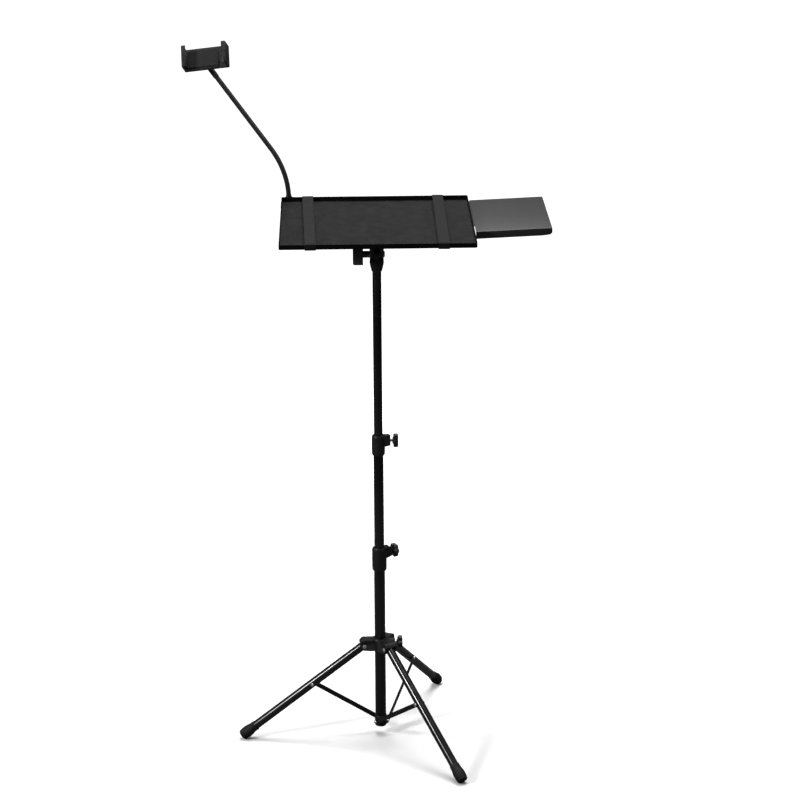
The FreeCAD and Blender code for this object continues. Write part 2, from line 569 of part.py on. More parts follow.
# ---------------------------------------------------------------- phone arm
def make_arm_bracket():
    """Bent plate under the tray's back edge, with the socket for the gooseneck behind the lip."""
    back = TRAY_SET_BACK + TRAY_DEPTH / 2
    low = TRAY_RISE - 14.0
    socket_y = back + ARM_BEHIND
    plate = box(ARM_X - 17, ARM_X + 13, back - 34, back + 2, TRAY_RISE - 3, TRAY_RISE)
    web = box(ARM_X - 8, ARM_X + 8, back - 2, socket_y, low, TRAY_RISE - 3)
    socket = cylinder(Vector(ARM_X, socket_y, low), Vector(0, 0, 1), 8.6, 21.0)
    bracket = fused([plate, web, socket])
    bracket = bracket.cut(cylinder(Vector(ARM_X, socket_y, low + 2), Vector(0, 0, 1), 6.0 + RUN, 25))
    lip_room = box(ARM_X - 30, ARM_X + 30, back - 60, back + 0.2, TRAY_RISE, TRAY_RISE + 20)
    bracket = bracket.cut(lip_room)
    screws = []
    for y in (back - 27, back - 11):
        body = cylinder(Vector(ARM_X - 9, y, TRAY_RISE - 6.5), Vector(0, 0, 1), 2.0, 6.5)
        head = stand_on(turned([(0, 0), (3.6, 0), (3.6, 1.4), (2.6, 2.4), (0, 2.4)]),
                        Vector(ARM_X - 9, y, TRAY_RISE - 3), Vector(0, 0, -1))
        screws.append(fused([body, head]))
    screws = Part.makeCompound(screws)
    bracket = bracket.cut(screws)
    lock_z = TRAY_RISE - 4.0
    out = Vector(0, 1, 0)
    bracket = bracket.cut(cylinder(Vector(ARM_X, socket_y, lock_z), out, 2.5 + RUN, 15))
    put("arm_bracket", on_tray(bracket))
    put("arm_bracket_screws", on_tray(screws))
    start = Vector(ARM_X, socket_y + 8.6 + 1.5, lock_z)
    put("arm_lock_knob", on_tray(stand_on(star_knob(8.0, 1.0, 10.0, 6, 2.5, neck=1.5), start, out)))
    put("arm_lock_screw", on_tray(cylinder(Vector(ARM_X, socket_y + 6.0 + GAP, lock_z), out, 2.5, 10.5)))


def make_gooseneck():
    start, end = neck_directions()
    base = socket_base()
    corner = neck_corner()
    turn = math.acos(start.dot(end))
    tangent = NECK_BEND_R * math.tan(turn / 2)
    first, last = corner - start * tangent, corner + end * tangent
    to_centre = (end - start).normalize()
    centre = corner + to_centre * (NECK_BEND_R / math.cos(turn / 2))
    middle = centre - to_centre * NECK_BEND_R
    ferrule_length, end_length = 24.0, 30.0
    neck_start = base + start * (2.2 + ferrule_length - 6.0)
    neck_end = elbow_centre() - end * (end_length - 6.0)
    path = Part.Wire([Part.LineSegment(neck_start, first).toShape(), Part.Arc(first, middle, last).toShape(),
                      Part.LineSegment(last, neck_end).toShape()])
    neck = path.makePipe(Part.Face(Part.Wire([Part.makeCircle(NECK_R, neck_start, start)])))
    ferrule = cylinder(base + start * 2.2, start, 6.0, ferrule_length).cut(neck)
    put("gooseneck", neck)
    put("neck_ferrule", ferrule)
    tip = turned([(0, 0), (5.6, 0), (6.0, 1.0), (6.0, end_length), (0, end_length)])
    tip = stand_on(tip, elbow_centre() - end * end_length, end)
    elbow = Part.makeSphere(6.0, elbow_centre())
    stem = cylinder(elbow_centre(), ball_centre() - elbow_centre(), 3.0, ELBOW_BEHIND)
    ball = Part.makeSphere(BALL_R, ball_centre())
    across = holder_turn().multVec(Vector(1, 0, 0))
    cross_hole = cylinder(ball_centre() - across * 8, across, 1.2, 16)
    put("neck_end", fused([tip, elbow, stem, ball]).cut(neck).cut(cross_hole))


def make_phone_holder():
    """Spring clamp on a ball joint: back case with the fixed jaw, sliding jaw, pads, springs, ring."""
    half, height, back, depth = HOLDER_INNER / 2, HOLDER_HEIGHT / 2, HOLDER_BACK, JAW_DEPTH
    case_right = half - 14.0
    case = box(-half - JAW_THICK, case_right, 0, back, -height, height)
    jaw_outline = [(-half, 0), (-half, -depth), (-half + JAW_LIP, -depth - 0.5), (-half + JAW_LIP, -depth - 3.0),
                   (-half - 1.5, -depth - 4.0), (-half - JAW_THICK + 0.6, -depth - 2.5),
                   (-half - JAW_THICK, 0.5), (-half, 0.5)]

    def jaw(mirror):
        points = [Vector(mirror * x, y, -height + 1.0) for x, y in jaw_outline]
        shape = Part.Face(Part.makePolygon(points + points[:1])).extrude(Vector(0, 0, 2 * height - 2.0))
        return shape

    cavity = box(-half + 6, case_right + 1, 2.6, back - 2.2, -height + 4, height - 4)
    socket_r = BALL_R + 3.2
    stem = cylinder(Vector(SOCKET_X, back, 0), Vector(0, 1, 0), socket_r, BALL_BEHIND - 1.5)
    case = fused([case, jaw(1), stem]).cut(cavity)
    ball_room = Part.makeSphere(BALL_R + GAP, Vector(SOCKET_X, back + BALL_BEHIND, 0))
    case = case.cut(ball_room)
    put("holder_case", on_holder(case))

    slide = box(case_right - 34, half + 1.0, 2.6 + GAP, back - 2.2 - GAP, -height + 4 + GAP, height - 4 - GAP)
    slots = [box(case_right - 32, case_right - 4, 0, back, z - 3.4, z + 3.4) for z in (-9.0, 9.0)]
    plate = box(case_right + GAP, half + JAW_THICK, 0, back, -height, height)
    sliding = fused([slide, plate, jaw(-1)])
    for slot in slots:
        sliding = sliding.cut(slot)
    put("holder_sliding_jaw", on_holder(sliding))
    springs = [cylinder(Vector(-half + 7, (back + 0.4) / 2, z), Vector(1, 0, 0), 1.2, case_right - 34 + half - 7.5)
               for z in (-9.0, 9.0)]
    put("holder_springs", on_holder(Part.makeCompound(springs)))

    pad_t = 1.6
    pad = box(-half + 2, case_right - 2, -pad_t, 0, -height + 5, height - 5)
    put("holder_back_pad", on_holder(pad))
    for name, s in (("holder_fixed_pad", 1), ("holder_sliding_pad", -1)):
        x0, x1 = sorted((s * -half, s * (-half + pad_t)))
        put(name, on_holder(box(x0, x1, -depth + 1.5, -pad_t - 1.0, -height + 4, height - 4)))
    ring_start = back + BALL_BEHIND - 5.5
    ring = tube(Vector(SOCKET_X, ring_start, 0), Vector(0, 1, 0), socket_r + 3.0, socket_r + 0.2, 9.0)
    cap = tube(Vector(SOCKET_X, ring_start + 9.0, 0), Vector(0, 1, 0), socket_r + 3.0, BALL_R - 0.2, 2.0)
    ring = fused([ring, cap])
    ring = ring.cut(Part.makeSphere(BALL_R + GAP, Vector(SOCKET_X, back + BALL_BEHIND, 0)))
    put("holder_ball_ring", on_holder(ring))


# ---------------------------------------------------------------- assembly
def build():
    make_outer_tube()
    make_pole_base()
    make_hub()
    for side_name, azimuth in LEG_AZIMUTHS.items():
        make_leg(side_name, azimuth)
        make_brace(side_name, azimuth)
    make_pole()
    make_head()
    stud_places = make_tilt_bracket()
    make_tilt_lock()
    make_tray(stud_places)
    for name in STRAPS:
        make_strap(name)
    make_shelf()
    make_arm_bracket()
    make_gooseneck()
    make_phone_holder()


def centre_shift():
    """The move that brings the middle of the whole box's bottom to the origin."""
    whole = FreeCAD.BoundBox()
    for shape in nodes.values():
        whole.add(shape.optimalBoundingBox(False))
    return Vector(-(whole.XMin + whole.XMax) / 2, -(whole.YMin + whole.YMax) / 2, -whole.ZMin)


build()
SHIFT = centre_shift()
os.makedirs("parts", exist_ok=True)
for node_name, node_shape in nodes.items():
    node_shape.translate(SHIFT)
    node_shape.exportStep("parts/" + node_name + ".step")
print(len(nodes), "nodes; fold travel, leg turn, brace turn:", [round(v, 2) for v in fold()])
print("shift", [round(v, 3) for v in SHIFT])
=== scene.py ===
"""Laptop and music stand: folding tripod, two telescopic stages, lipped tray with elastic straps,
pull-out side shelf and gooseneck phone holder.  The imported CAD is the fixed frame; everything here is in metres."""
import bmesh
import bpy
import math
from mathutils import Euler, Matrix, Quaternion, Vector


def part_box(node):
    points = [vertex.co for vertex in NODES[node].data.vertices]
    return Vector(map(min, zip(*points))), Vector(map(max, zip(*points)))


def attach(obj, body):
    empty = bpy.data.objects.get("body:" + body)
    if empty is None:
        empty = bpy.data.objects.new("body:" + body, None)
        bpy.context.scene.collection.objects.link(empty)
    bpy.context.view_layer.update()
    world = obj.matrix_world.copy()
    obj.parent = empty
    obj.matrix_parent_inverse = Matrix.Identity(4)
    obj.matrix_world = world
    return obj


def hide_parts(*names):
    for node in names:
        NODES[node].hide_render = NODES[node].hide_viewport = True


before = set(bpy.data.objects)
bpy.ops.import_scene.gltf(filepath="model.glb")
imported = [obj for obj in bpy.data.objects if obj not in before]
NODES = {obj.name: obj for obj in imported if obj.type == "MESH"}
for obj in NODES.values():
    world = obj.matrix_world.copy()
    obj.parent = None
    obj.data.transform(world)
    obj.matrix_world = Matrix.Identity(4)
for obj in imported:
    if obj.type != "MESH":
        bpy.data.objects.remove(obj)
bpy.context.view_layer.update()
MM = 0.001

# ---------------------------------------------------------------- places, as the CAD has them
low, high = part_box("outer_tube")
OUTER_BOTTOM_Z = 0.023
AXIS = Vector(((low.x + high.x) / 2, (low.y + high.y) / 2, low.z - OUTER_BOTTOM_Z))     # pole axis, on the floor
LEG_AZIMUTHS = {"left": 182.5, "front": 302.5, "back": 62.5}
LEG_PIVOT_R, HUB_Z = 0.035, 0.214
FOOT_CIRCLE_R, FOOT_END_Z = 0.309, 0.0083
TILT_Z, TRAY_TILT = 1.086, 10.0
TRAY_WIDTH, TRAY_DEPTH, TRAY_LIP, TRAY_SHEET = 0.400, 0.300, 0.011, 0.0012
TRAY_RISE, TRAY_SET_BACK = 0.062, 0.011
STRAPS = {"left_strap": (-0.140, 1.5), "right_strap": (0.134, -0.4)}
STRAP_WIDTH, STRAP_THICK, STRAP_CLEAR, GAP = 0.023, 0.0012, 0.0007, 0.0003
SHELF_WIDTH, SHELF_DEPTH, SHELF_FLANGE, SHELF_SHEET = 0.158, 0.202, 0.016, 0.0015
SHELF_GAP, SHELF_RISE, TONGUE_REACH = 0.004, 2.4, 0.048
TONGUE_BACK_NOTCH, TONGUE_FRONT_NOTCH, SHELF_TRAVEL, SHELF_KNOB_INSET = 0.008, 0.036, 0.024, 0.014
ARM_X, ARM_BEHIND = -0.1845, 0.010
NECK_R, NECK_BEND_R, NECK_CORNER_Z, NECK_LEAN, NECK_STRAIGHT = 0.0053, 0.180, 1.241, 36.1, 0.279
HOLDER_YAW, HOLDER_PITCH, HOLDER_ROLL = -12.0, 26.0, 7.5
HOLDER_BACK, SOCKET_X = 0.008, -0.007
BALL_BEHIND, ELBOW_BEHIND = 0.017, 0.014

TRAY = Matrix.Translation(AXIS + Vector((0, 0, TILT_Z))) @ Matrix.Rotation(math.radians(TRAY_TILT), 4, "X")
TRAY_UP = (TRAY.to_3x3() @ Vector((0, 0, 1))).normalized()
LEAN = math.radians(NECK_LEAN)
NECK_END = Vector((-math.sin(LEAN), 0, math.cos(LEAN)))
SOCKET = TRAY @ Vector((ARM_X, TRAY_SET_BACK + TRAY_DEPTH / 2 + ARM_BEHIND, TRAY_RISE - 0.014))
CORNER = SOCKET + TRAY_UP * ((AXIS.z + NECK_CORNER_Z - SOCKET.z) / TRAY_UP.z)
ELBOW = CORNER + NECK_END * NECK_STRAIGHT
HOLDER_TURN = (Matrix.Rotation(math.radians(HOLDER_YAW), 4, "Z")
               @ Matrix.Rotation(math.radians(-HOLDER_PITCH), 4, "X")
               @ Matrix.Rotation(math.radians(-HOLDER_ROLL), 4, "Y"))
BALL = ELBOW - HOLDER_TURN.to_3x3() @ Vector((0, ELBOW_BEHIND, 0))
FROM_BALL = HOLDER_TURN.to_3x3() @ Vector((-SOCKET_X, -(HOLDER_BACK + BALL_BEHIND), 0))
HOLDER = Matrix.Translation(BALL + FROM_BALL) @ HOLDER_TURN


def polar(azimuth, r, z):
    """Point at r from the pole's axis, azimuth in degrees from +X."""
    a = math.radians(azimuth)
    return AXIS + Vector((r * math.cos(a), r * math.sin(a), z))


# ---------------------------------------------------------------- materials
def new_material(name, colour, roughness, metallic=0.0, coat=0.0, coat_roughness=0.1, sheen=0.0, specular=0.5):
    """A Principled material whose constants sit on the shader's own sockets."""
    m = bpy.data.materials.new(name)
    m.use_nodes = True
    shader = m.node_tree.nodes["Principled BSDF"]
    shader.inputs["Base Color"].default_value = (*colour, 1)
    shader.inputs["Roughness"].default_value = roughness
    shader.inputs["Metallic"].default_value = metallic
    shader.inputs["Coat Weight"].default_value = coat
    shader.inputs["Coat Roughness"].default_value = coat_roughness
    shader.inputs["Sheen Weight"].default_value = sheen
    shader.inputs["Specular IOR Level"].default_value = specular
    return m, m.node_tree, shader


def node(tree, kind, inputs=None, **settings):
    """New shader node; inputs take either another node's output or a plain value."""
    n = tree.nodes.new(kind)
    for k, v in settings.items():
        setattr(n, k, v)
    for k, v in (inputs or {}).items():
        if hasattr(v, "is_output"):
            tree.links.new(v, n.inputs[k])
        else:
            n.inputs[k].default_value = v
    return n


def noise(tree, where, scale, detail=3.0, roughness=0.5):
    return node(tree, "ShaderNodeTexNoise", {"Vector": where, "Scale": scale, "Detail": detail,
                                             "Roughness": roughness}).outputs["Fac"]


def ramp(tree, value, low_at, low_value, high_at, high_value):
    """value mapped from low_at..high_at to low_value..high_value, clamped."""
    return node(tree, "ShaderNodeMapRange", {"Value": value, "From Min": low_at, "From Max": high_at,
                                             "To Min": low_value, "To Max": high_value}).outputs["Result"]


def mix(tree, factor, a, b):
    """Colour from a (factor 0) to b (factor 1)."""
    n = node(tree, "ShaderNodeMix", data_type="RGBA")
    for key, value in ((0, factor), (6, a), (7, b)):
        if hasattr(value, "is_output"):
            tree.links.new(value, n.inputs[key])
        else:
            n.inputs[key].default_value = value if key == 0 else (*value, 1)
    return n.outputs[2]


def bump(tree, shader, height, strength, distance, under=None):
    n = node(tree, "ShaderNodeBump", {"Height": height, "Strength": strength, "Distance": distance})
    if under is not None:
        tree.links.new(under, n.inputs["Normal"])
    tree.links.new(n.outputs["Normal"], shader.inputs["Normal"])
    return n.outputs["Normal"]


def here(tree):
    """Object coordinates: the part's own metres at rest."""
    return node(tree, "ShaderNodeTexCoord").outputs["Object"]


def worn_edge(tree, amount):
    """0 on flats, up to amount on convex edges."""
    point = node(tree, "ShaderNodeNewGeometry").outputs["Pointiness"]
    return ramp(tree, point, 0.53, 0.0, 0.64, amount)


def powder_coat():
    """Gloss black powder coat: orange peel, faint cloudiness in the gloss, rubbed edges."""
    m, t, s = new_material("powder_coat", (0.004, 0.004, 0.0045), 0.2, specular=0.4)
    where = here(t)
    t.links.new(ramp(t, noise(t, where, 60, 4), 0.3, 0.13, 0.7, 0.22), s.inputs["Roughness"])
    cloud = mix(t, noise(t, where, 35, 3), (0.002, 0.002, 0.0022), (0.006, 0.006, 0.0063))
    t.links.new(mix(t, worn_edge(t, 0.4), cloud, (0.02, 0.02, 0.021)), s.inputs["Base Color"])
    bump(t, s, noise(t, where, 420, 2), 0.05, 0.0002)
    return m


def moulded_black():
    """Glass-filled nylon: fine spark-eroded grain, slightly greyer on edges."""
    m, t, s = new_material("moulded_black", (0.012, 0.012, 0.0125), 0.46, specular=0.3)
    where = here(t)
    t.links.new(ramp(t, noise(t, where, 120, 5), 0.3, 0.38, 0.7, 0.56), s.inputs["Roughness"])
    tint = mix(t, noise(t, where, 45, 4), (0.004, 0.004, 0.0042), (0.009, 0.009, 0.0093))
    t.links.new(mix(t, worn_edge(t, 0.6), tint, (0.045, 0.045, 0.046)), s.inputs["Base Color"])
    grain = node(t, "ShaderNodeTexVoronoi", {"Vector": where, "Scale": 1700.0}).outputs["Distance"]
    bump(t, s, grain, 0.25, 0.00012)
    return m


def knob_black():
    """Satin moulded knob plastic."""
    m, t, s = new_material("knob_black", (0.011, 0.011, 0.0115), 0.34)
    where = here(t)
    t.links.new(ramp(t, noise(t, where, 150, 4), 0.3, 0.28, 0.7, 0.42), s.inputs["Roughness"])
    tint = mix(t, noise(t, where, 70, 3), (0.003, 0.003, 0.0032), (0.008, 0.008, 0.0083))
    t.links.new(mix(t, worn_edge(t, 0.7), tint, (0.05, 0.05, 0.05)), s.inputs["Base Color"])
    bump(t, s, noise(t, where, 1500, 2), 0.15, 0.0001)
    return m


def black_rubber():
    """Matt moulded rubber with a dusty bloom."""
    m, t, s = new_material("black_rubber", (0.01, 0.01, 0.01), 0.6, specular=0.3)
    where = here(t)
    t.links.new(ramp(t, noise(t, where, 90, 5), 0.3, 0.6, 0.75, 0.82), s.inputs["Roughness"])
    t.links.new(mix(t, ramp(t, noise(t, where, 55, 6, 0.65), 0.45, 0.0, 0.75, 1.0), (0.004, 0.004, 0.004),
                    (0.012, 0.0118, 0.0115)), s.inputs["Base Color"])
    bump(t, s, noise(t, where, 1100, 4), 0.3, 0.00015)
    return m


def bright_rivet():
    """Nickel-plated rivet: fine turning marks and a little grime."""
    m, t, s = new_material("bright_rivet", (0.78, 0.78, 0.77), 0.22, metallic=1.0)
    where = here(t)
    t.links.new(ramp(t, noise(t, where, 500, 4), 0.3, 0.14, 0.7, 0.34), s.inputs["Roughness"])
    t.links.new(mix(t, ramp(t, noise(t, where, 220, 4), 0.5, 0.0, 0.8, 0.55), (0.8, 0.8, 0.79),
                    (0.42, 0.41, 0.39)), s.inputs["Base Color"])
    bump(t, s, noise(t, where, 2500, 2), 0.1, 0.00005)
    return m


def zinc_steel():
    """Bright zinc plate with passivation clouds."""
    m, t, s = new_material("zinc_steel", (0.55, 0.56, 0.58), 0.33, metallic=1.0)
    where = here(t)
    t.links.new(ramp(t, noise(t, where, 300, 4), 0.3, 0.25, 0.7, 0.45), s.inputs["Roughness"])
    t.links.new(mix(t, noise(t, where, 130, 4), (0.50, 0.52, 0.56), (0.63, 0.61, 0.56)), s.inputs["Base Color"])
    bump(t, s, noise(t, where, 1800, 3), 0.12, 0.00006)
    return m


def tray_texture():
    """Textured black powder coat of the tray: coarse even grain and a mottled tone; faces turned away from the tray's
    up direction (lips, rims, underside) get a darker base colour as painted shade.
    """
    m, t, s = new_material("tray_texture", (0.03, 0.03, 0.031), 0.6, specular=0.08)
    where = here(t)
    speck = noise(t, where, 650, 5, 0.7)
    cloud = noise(t, where, 48, 6, 0.65)
    fine = mix(t, ramp(t, speck, 0.32, 0.0, 0.68, 1.0), (0.001, 0.001, 0.0011), (0.013, 0.013, 0.0134))
    mottled = mix(t, ramp(t, cloud, 0.38, 0.0, 0.62, 0.85), fine, (0.0015, 0.0015, 0.0016))
    # painted shade: faces turned away from the tray's up direction (lips, rims, underside) get a near-black base
    # colour that stands in for shade
    painted_shade_mask = node(t, "ShaderNodeVectorMath", {0: node(t, "ShaderNodeTexCoord").outputs["Normal"], 1: tuple(TRAY_UP)},
                  operation="DOT_PRODUCT").outputs["Value"]
    t.links.new(mix(t, ramp(t, painted_shade_mask, 0.4, 0.0, 0.95, 1.0), (0.002, 0.002, 0.0021), mottled), s.inputs["Base Color"])
    t.links.new(ramp(t, speck, 0.3, 0.46, 0.7, 0.66), s.inputs["Roughness"])
    grain = bump(t, s, noise(t, where, 1400, 3), 0.5, 0.00025)
    bump(t, s, speck, 0.35, 0.0003, grain)
    return m


def shelf_satin():
    """Smooth satin sheet of the side shelf."""
    m, t, s = new_material("shelf_satin", (0.02, 0.02, 0.0205), 0.42, specular=0.36)
    where = here(t)
    t.links.new(ramp(t, noise(t, where, 120, 4), 0.3, 0.40, 0.7, 0.46), s.inputs["Roughness"])
    tint = mix(t, noise(t, where, 16, 3), (0.010, 0.010, 0.0103), (0.017, 0.017, 0.0175))
    t.links.new(mix(t, worn_edge(t, 0.5), tint, (0.06, 0.06, 0.06)), s.inputs["Base Color"])
    bump(t, s, noise(t, where, 1100, 2), 0.10, 0.00015)
    return m


def webbing():
    """Knitted elastic: picks across the ribs, uv is millimetres across and along the strap."""
    m, t, s = new_material("elastic_webbing", (0.02, 0.02, 0.021), 0.8, sheen=0.01, specular=0.1)
    uv = node(t, "ShaderNodeTexCoord").outputs["UV"]
    split = node(t, "ShaderNodeSeparateXYZ", {"Vector": uv})
    along = node(t, "ShaderNodeMath", {0: split.outputs["Y"], 1: 2 * math.pi / 1.1}, operation="MULTIPLY")
    across = node(t, "ShaderNodeMath", {0: split.outputs["X"], 1: math.pi / 2.3}, operation="MULTIPLY")
    shift = node(t, "ShaderNodeMath", {0: across.outputs[0]}, operation="SINE")
    phase = node(t, "ShaderNodeMath", {0: along.outputs[0], 1: shift.outputs[0]}, operation="ADD")
    pick = node(t, "ShaderNodeMath", {0: phase.outputs[0]}, operation="SINE").outputs[0]
    fuzz = noise(t, here(t), 1300, 5, 0.7)
    thread = ramp(t, pick, -1, 0.0, 1, 1.0)
    base = mix(t, thread, (0.003, 0.003, 0.0032), (0.014, 0.014, 0.0144))
    t.links.new(mix(t, ramp(t, fuzz, 0.5, 0.0, 0.75, 0.5), base, (0.020, 0.020, 0.0206)), s.inputs["Base Color"])
    t.links.new(ramp(t, fuzz, 0.3, 0.7, 0.7, 0.92), s.inputs["Roughness"])
    first = bump(t, s, thread, 0.6, 0.0003)
    bump(t, s, fuzz, 0.35, 0.0002, first)
    return m


def thread_grey():
    """Sewing thread of the bar tacks."""
    m, t, s = new_material("thread", (0.035, 0.035, 0.036), 0.7, sheen=0.3)
    bump(t, s, noise(t, here(t), 2600, 2), 0.5, 0.0001)
    t.links.new(mix(t, noise(t, here(t), 900, 3), (0.02, 0.02, 0.021), (0.06, 0.06, 0.062)), s.inputs["Base Color"])
    return m


def neck_sheath():
    """Flexible arm's black sheath over its spiral."""
    m, t, s = new_material("neck_sheath", (0.016, 0.016, 0.016), 0.3, specular=0.5)
    where = here(t)
    t.links.new(ramp(t, noise(t, where, 140, 4), 0.3, 0.24, 0.7, 0.38), s.inputs["Roughness"])
    t.links.new(mix(t, noise(t, where, 60, 4), (0.010, 0.010, 0.0102), (0.022, 0.022, 0.0223)),
                s.inputs["Base Color"])
    bump(t, s, noise(t, where, 1600, 3), 0.2, 0.0001)
    return m


def holder_grey():
    """Dark grey grained plastic of the phone clamp."""
    m, t, s = new_material("holder_grey", (0.02, 0.02, 0.021), 0.45, specular=0.25)
    where = here(t)
    t.links.new(ramp(t, noise(t, where, 160, 4), 0.3, 0.34, 0.7, 0.52), s.inputs["Roughness"])
    tint = mix(t, noise(t, where, 80, 4), (0.006, 0.006, 0.0062), (0.014, 0.014, 0.0144))
    t.links.new(mix(t, worn_edge(t, 0.7), tint, (0.06, 0.06, 0.061)), s.inputs["Base Color"])
    grain = node(t, "ShaderNodeTexVoronoi", {"Vector": where, "Scale": 2000.0}).outputs["Distance"]
    bump(t, s, grain, 0.25, 0.0001)
    return m


def pad_foam():
    """Ribbed soft pad in the phone clamp."""
    m, t, s = new_material("pad_foam", (0.02, 0.02, 0.021), 0.85, specular=0.15)
    where = here(t)
    t.links.new(mix(t, noise(t, where, 700, 5, 0.7), (0.007, 0.007, 0.0073), (0.022, 0.022, 0.023)),
                s.inputs["Base Color"])
    t.links.new(ramp(t, noise(t, where, 300, 4), 0.3, 0.75, 0.7, 0.95), s.inputs["Roughness"])
    bump(t, s, noise(t, where, 2200, 5, 0.7), 0.45, 0.0002)
    return m


COAT, MOULDED, KNOB, RUBBER, RIVET, ZINC = (powder_coat(), moulded_black(), knob_black(), black_rubber(),
                                            bright_rivet(), zinc_steel())
TRAY_COAT, SATIN, WEBBING, THREAD = tray_texture(), shelf_satin(), webbing(), thread_grey()
SHEATH, HOLDER_GREY, FOAM = neck_sheath(), holder_grey(), pad_foam()

FINISH = {COAT: ["outer_tube", "middle_tube", "top_tube", "left_leg", "front_leg", "back_leg", "left_brace",
                 "front_brace", "back_brace", "tilt_bracket", "tray", "arm_bracket"],
          MOULDED: ["pole_base", "leg_hub", "lower_collar", "upper_collar", "head_socket", "middle_tube_glide",
                    "top_tube_glide", "holder_ball_ring", "neck_ferrule", "neck_end"],
          KNOB: ["hub_knob", "lower_collar_knob", "upper_collar_knob", "tilt_handle", "shelf_knob_front",
                 "shelf_knob_back", "arm_lock_knob"],
          RUBBER: ["left_foot", "front_foot", "back_foot"],
          RIVET: ["hub_rivets", "left_brace_rivets", "front_brace_rivets", "back_brace_rivets", "head_screw"],
          ZINC: ["hub_nut", "hub_screw", "lower_collar_screw", "lower_collar_nut", "upper_collar_screw",
                 "upper_collar_nut", "tray_nuts", "tilt_bolt", "tilt_washer", "tilt_handle_nut",
                 "arm_bracket_screws", "arm_lock_screw", "holder_springs"],
          SATIN: ["side_shelf"], WEBBING: ["left_strap", "right_strap"], SHEATH: ["gooseneck"],
          HOLDER_GREY: ["holder_case", "holder_sliding_jaw"],
          FOAM: ["holder_back_pad", "holder_fixed_pad", "holder_sliding_pad"]}
for finish, names in FINISH.items():
    for name in names:
        NODES[name].data.materials.clear()
        NODES[name].data.materials.append(finish)


def soften(name, width, angle=32):
    """Small rounded edges on a CAD node, without touching its mesh."""
    o = NODES[name]
    weld = o.modifiers.new("weld", "WELD")
    weld.merge_threshold = 0.00002
    flat = o.modifiers.new("flat", "DECIMATE")
    flat.decimate_type, flat.angle_limit = "DISSOLVE", math.radians(0.8)
    round_ = o.modifiers.new("round", "BEVEL")
    round_.width, round_.segments, round_.limit_method = width, 3, "ANGLE"
    round_.angle_limit, round_.use_clamp_overlap, round_.harden_normals = math.radians(angle), True, False


# ---------------------------------------------------------------- mesh helpers
def add_piece(name, bm, material, body, replaces=(), place=None, smooth=35):
    """Turns a bmesh into a piece that rides on a body."""
    if place is not None:
        bmesh.ops.transform(bm, matrix=place, verts=bm.verts)
    bmesh.ops.recalc_face_normals(bm, faces=bm.faces)
    mesh = bpy.data.meshes.new(name)
    bm.to_mesh(mesh)
    bm.free()
    mesh.materials.append(material)
    o = bpy.data.objects.new(name, mesh)
    bpy.context.scene.collection.objects.link(o)
    for p in mesh.polygons:
        p.use_smooth = True
    mesh.set_sharp_from_angle(angle=math.radians(smooth))
    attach(o, body)
    if replaces:
        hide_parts(*replaces)
    return o


def frames_along(points):
    """Rotation-minimising (point, tangent, normal, side) along a polyline."""
    out, normal = [], None
    for i, p in enumerate(points):
        tangent = (points[min(i + 1, len(points) - 1)] - points[max(i - 1, 0)]).normalized()
        if normal is None:
            normal = tangent.orthogonal().normalized()
        normal = (normal - tangent * normal.dot(tangent)).normalized()
        out.append((p, tangent, normal, tangent.cross(normal)))
    return out


def ring_faces(bm, rings, closed=True, cap=True):
    """Quads between successive rings of vertices."""
    for a, b in zip(rings, rings[1:]):
        n = len(a)
        for i in range(n if closed else n - 1):
            bm.faces.new((a[i], a[(i + 1) % n], b[(i + 1) % n], b[i]))
    if cap:
        bm.faces.new(list(reversed(rings[0])))
        bm.faces.new(rings[-1])


def lathe(profile, steps=64, radius_at=None):
    """Closed solid of revolution about Z from (radius, z) pairs; radius_at(r, z, angle) may reshape it."""
    bm = bmesh.new()
    rings = []
    for r, z in profile:
        ring = []
        for k in range(steps):
            a = 2 * math.pi * k / steps
            rr = radius_at(r, z, a) if radius_at else r
            ring.append(bm.verts.new((rr * math.cos(a), rr * math.sin(a), z)))
        rings.append(ring)
    ring_faces(bm, rings, cap=False)
    for ring, flip in ((rings[0], True), (rings[-1], False)):
        bm.faces.new(list(reversed(ring)) if flip else ring)
    return bm


def block(bm, x0, x1, y0, y1, z0, z1):
    """Six quads between two opposite corners."""
    v = [bm.verts.new((x, y, z)) for z in (z0, z1) for y in (y0, y1) for x in (x0, x1)]
    for a, b, c, d in ((0, 2, 3, 1), (4, 5, 7, 6), (0, 1, 5, 4), (2, 6, 7, 3), (0, 4, 6, 2), (1, 3, 7, 5)):
        bm.faces.new((v[a], v[b], v[c], v[d]))


def rounded_rectangle(x0, x1, y0, y1, r, steps=8):
    """Corner points, anticlockwise."""
    out = []
    for cx, cy, start in ((x1 - r, y0 + r, -90), (x1 - r, y1 - r, 0), (x0 + r, y1 - r, 90), (x0 + r, y0 + r, 180)):
        for k in range(steps + 1):
            a = math.radians(start + 90 * k / steps)
            out.append((cx + r * math.cos(a), cy + r * math.sin(a)))
    return out


def standing_on(point, direction):
    """Moves an object's Z axis onto direction, from point."""
    return Matrix.Translation(point) @ direction.to_track_quat("Z", "Y").to_matrix().to_4x4()


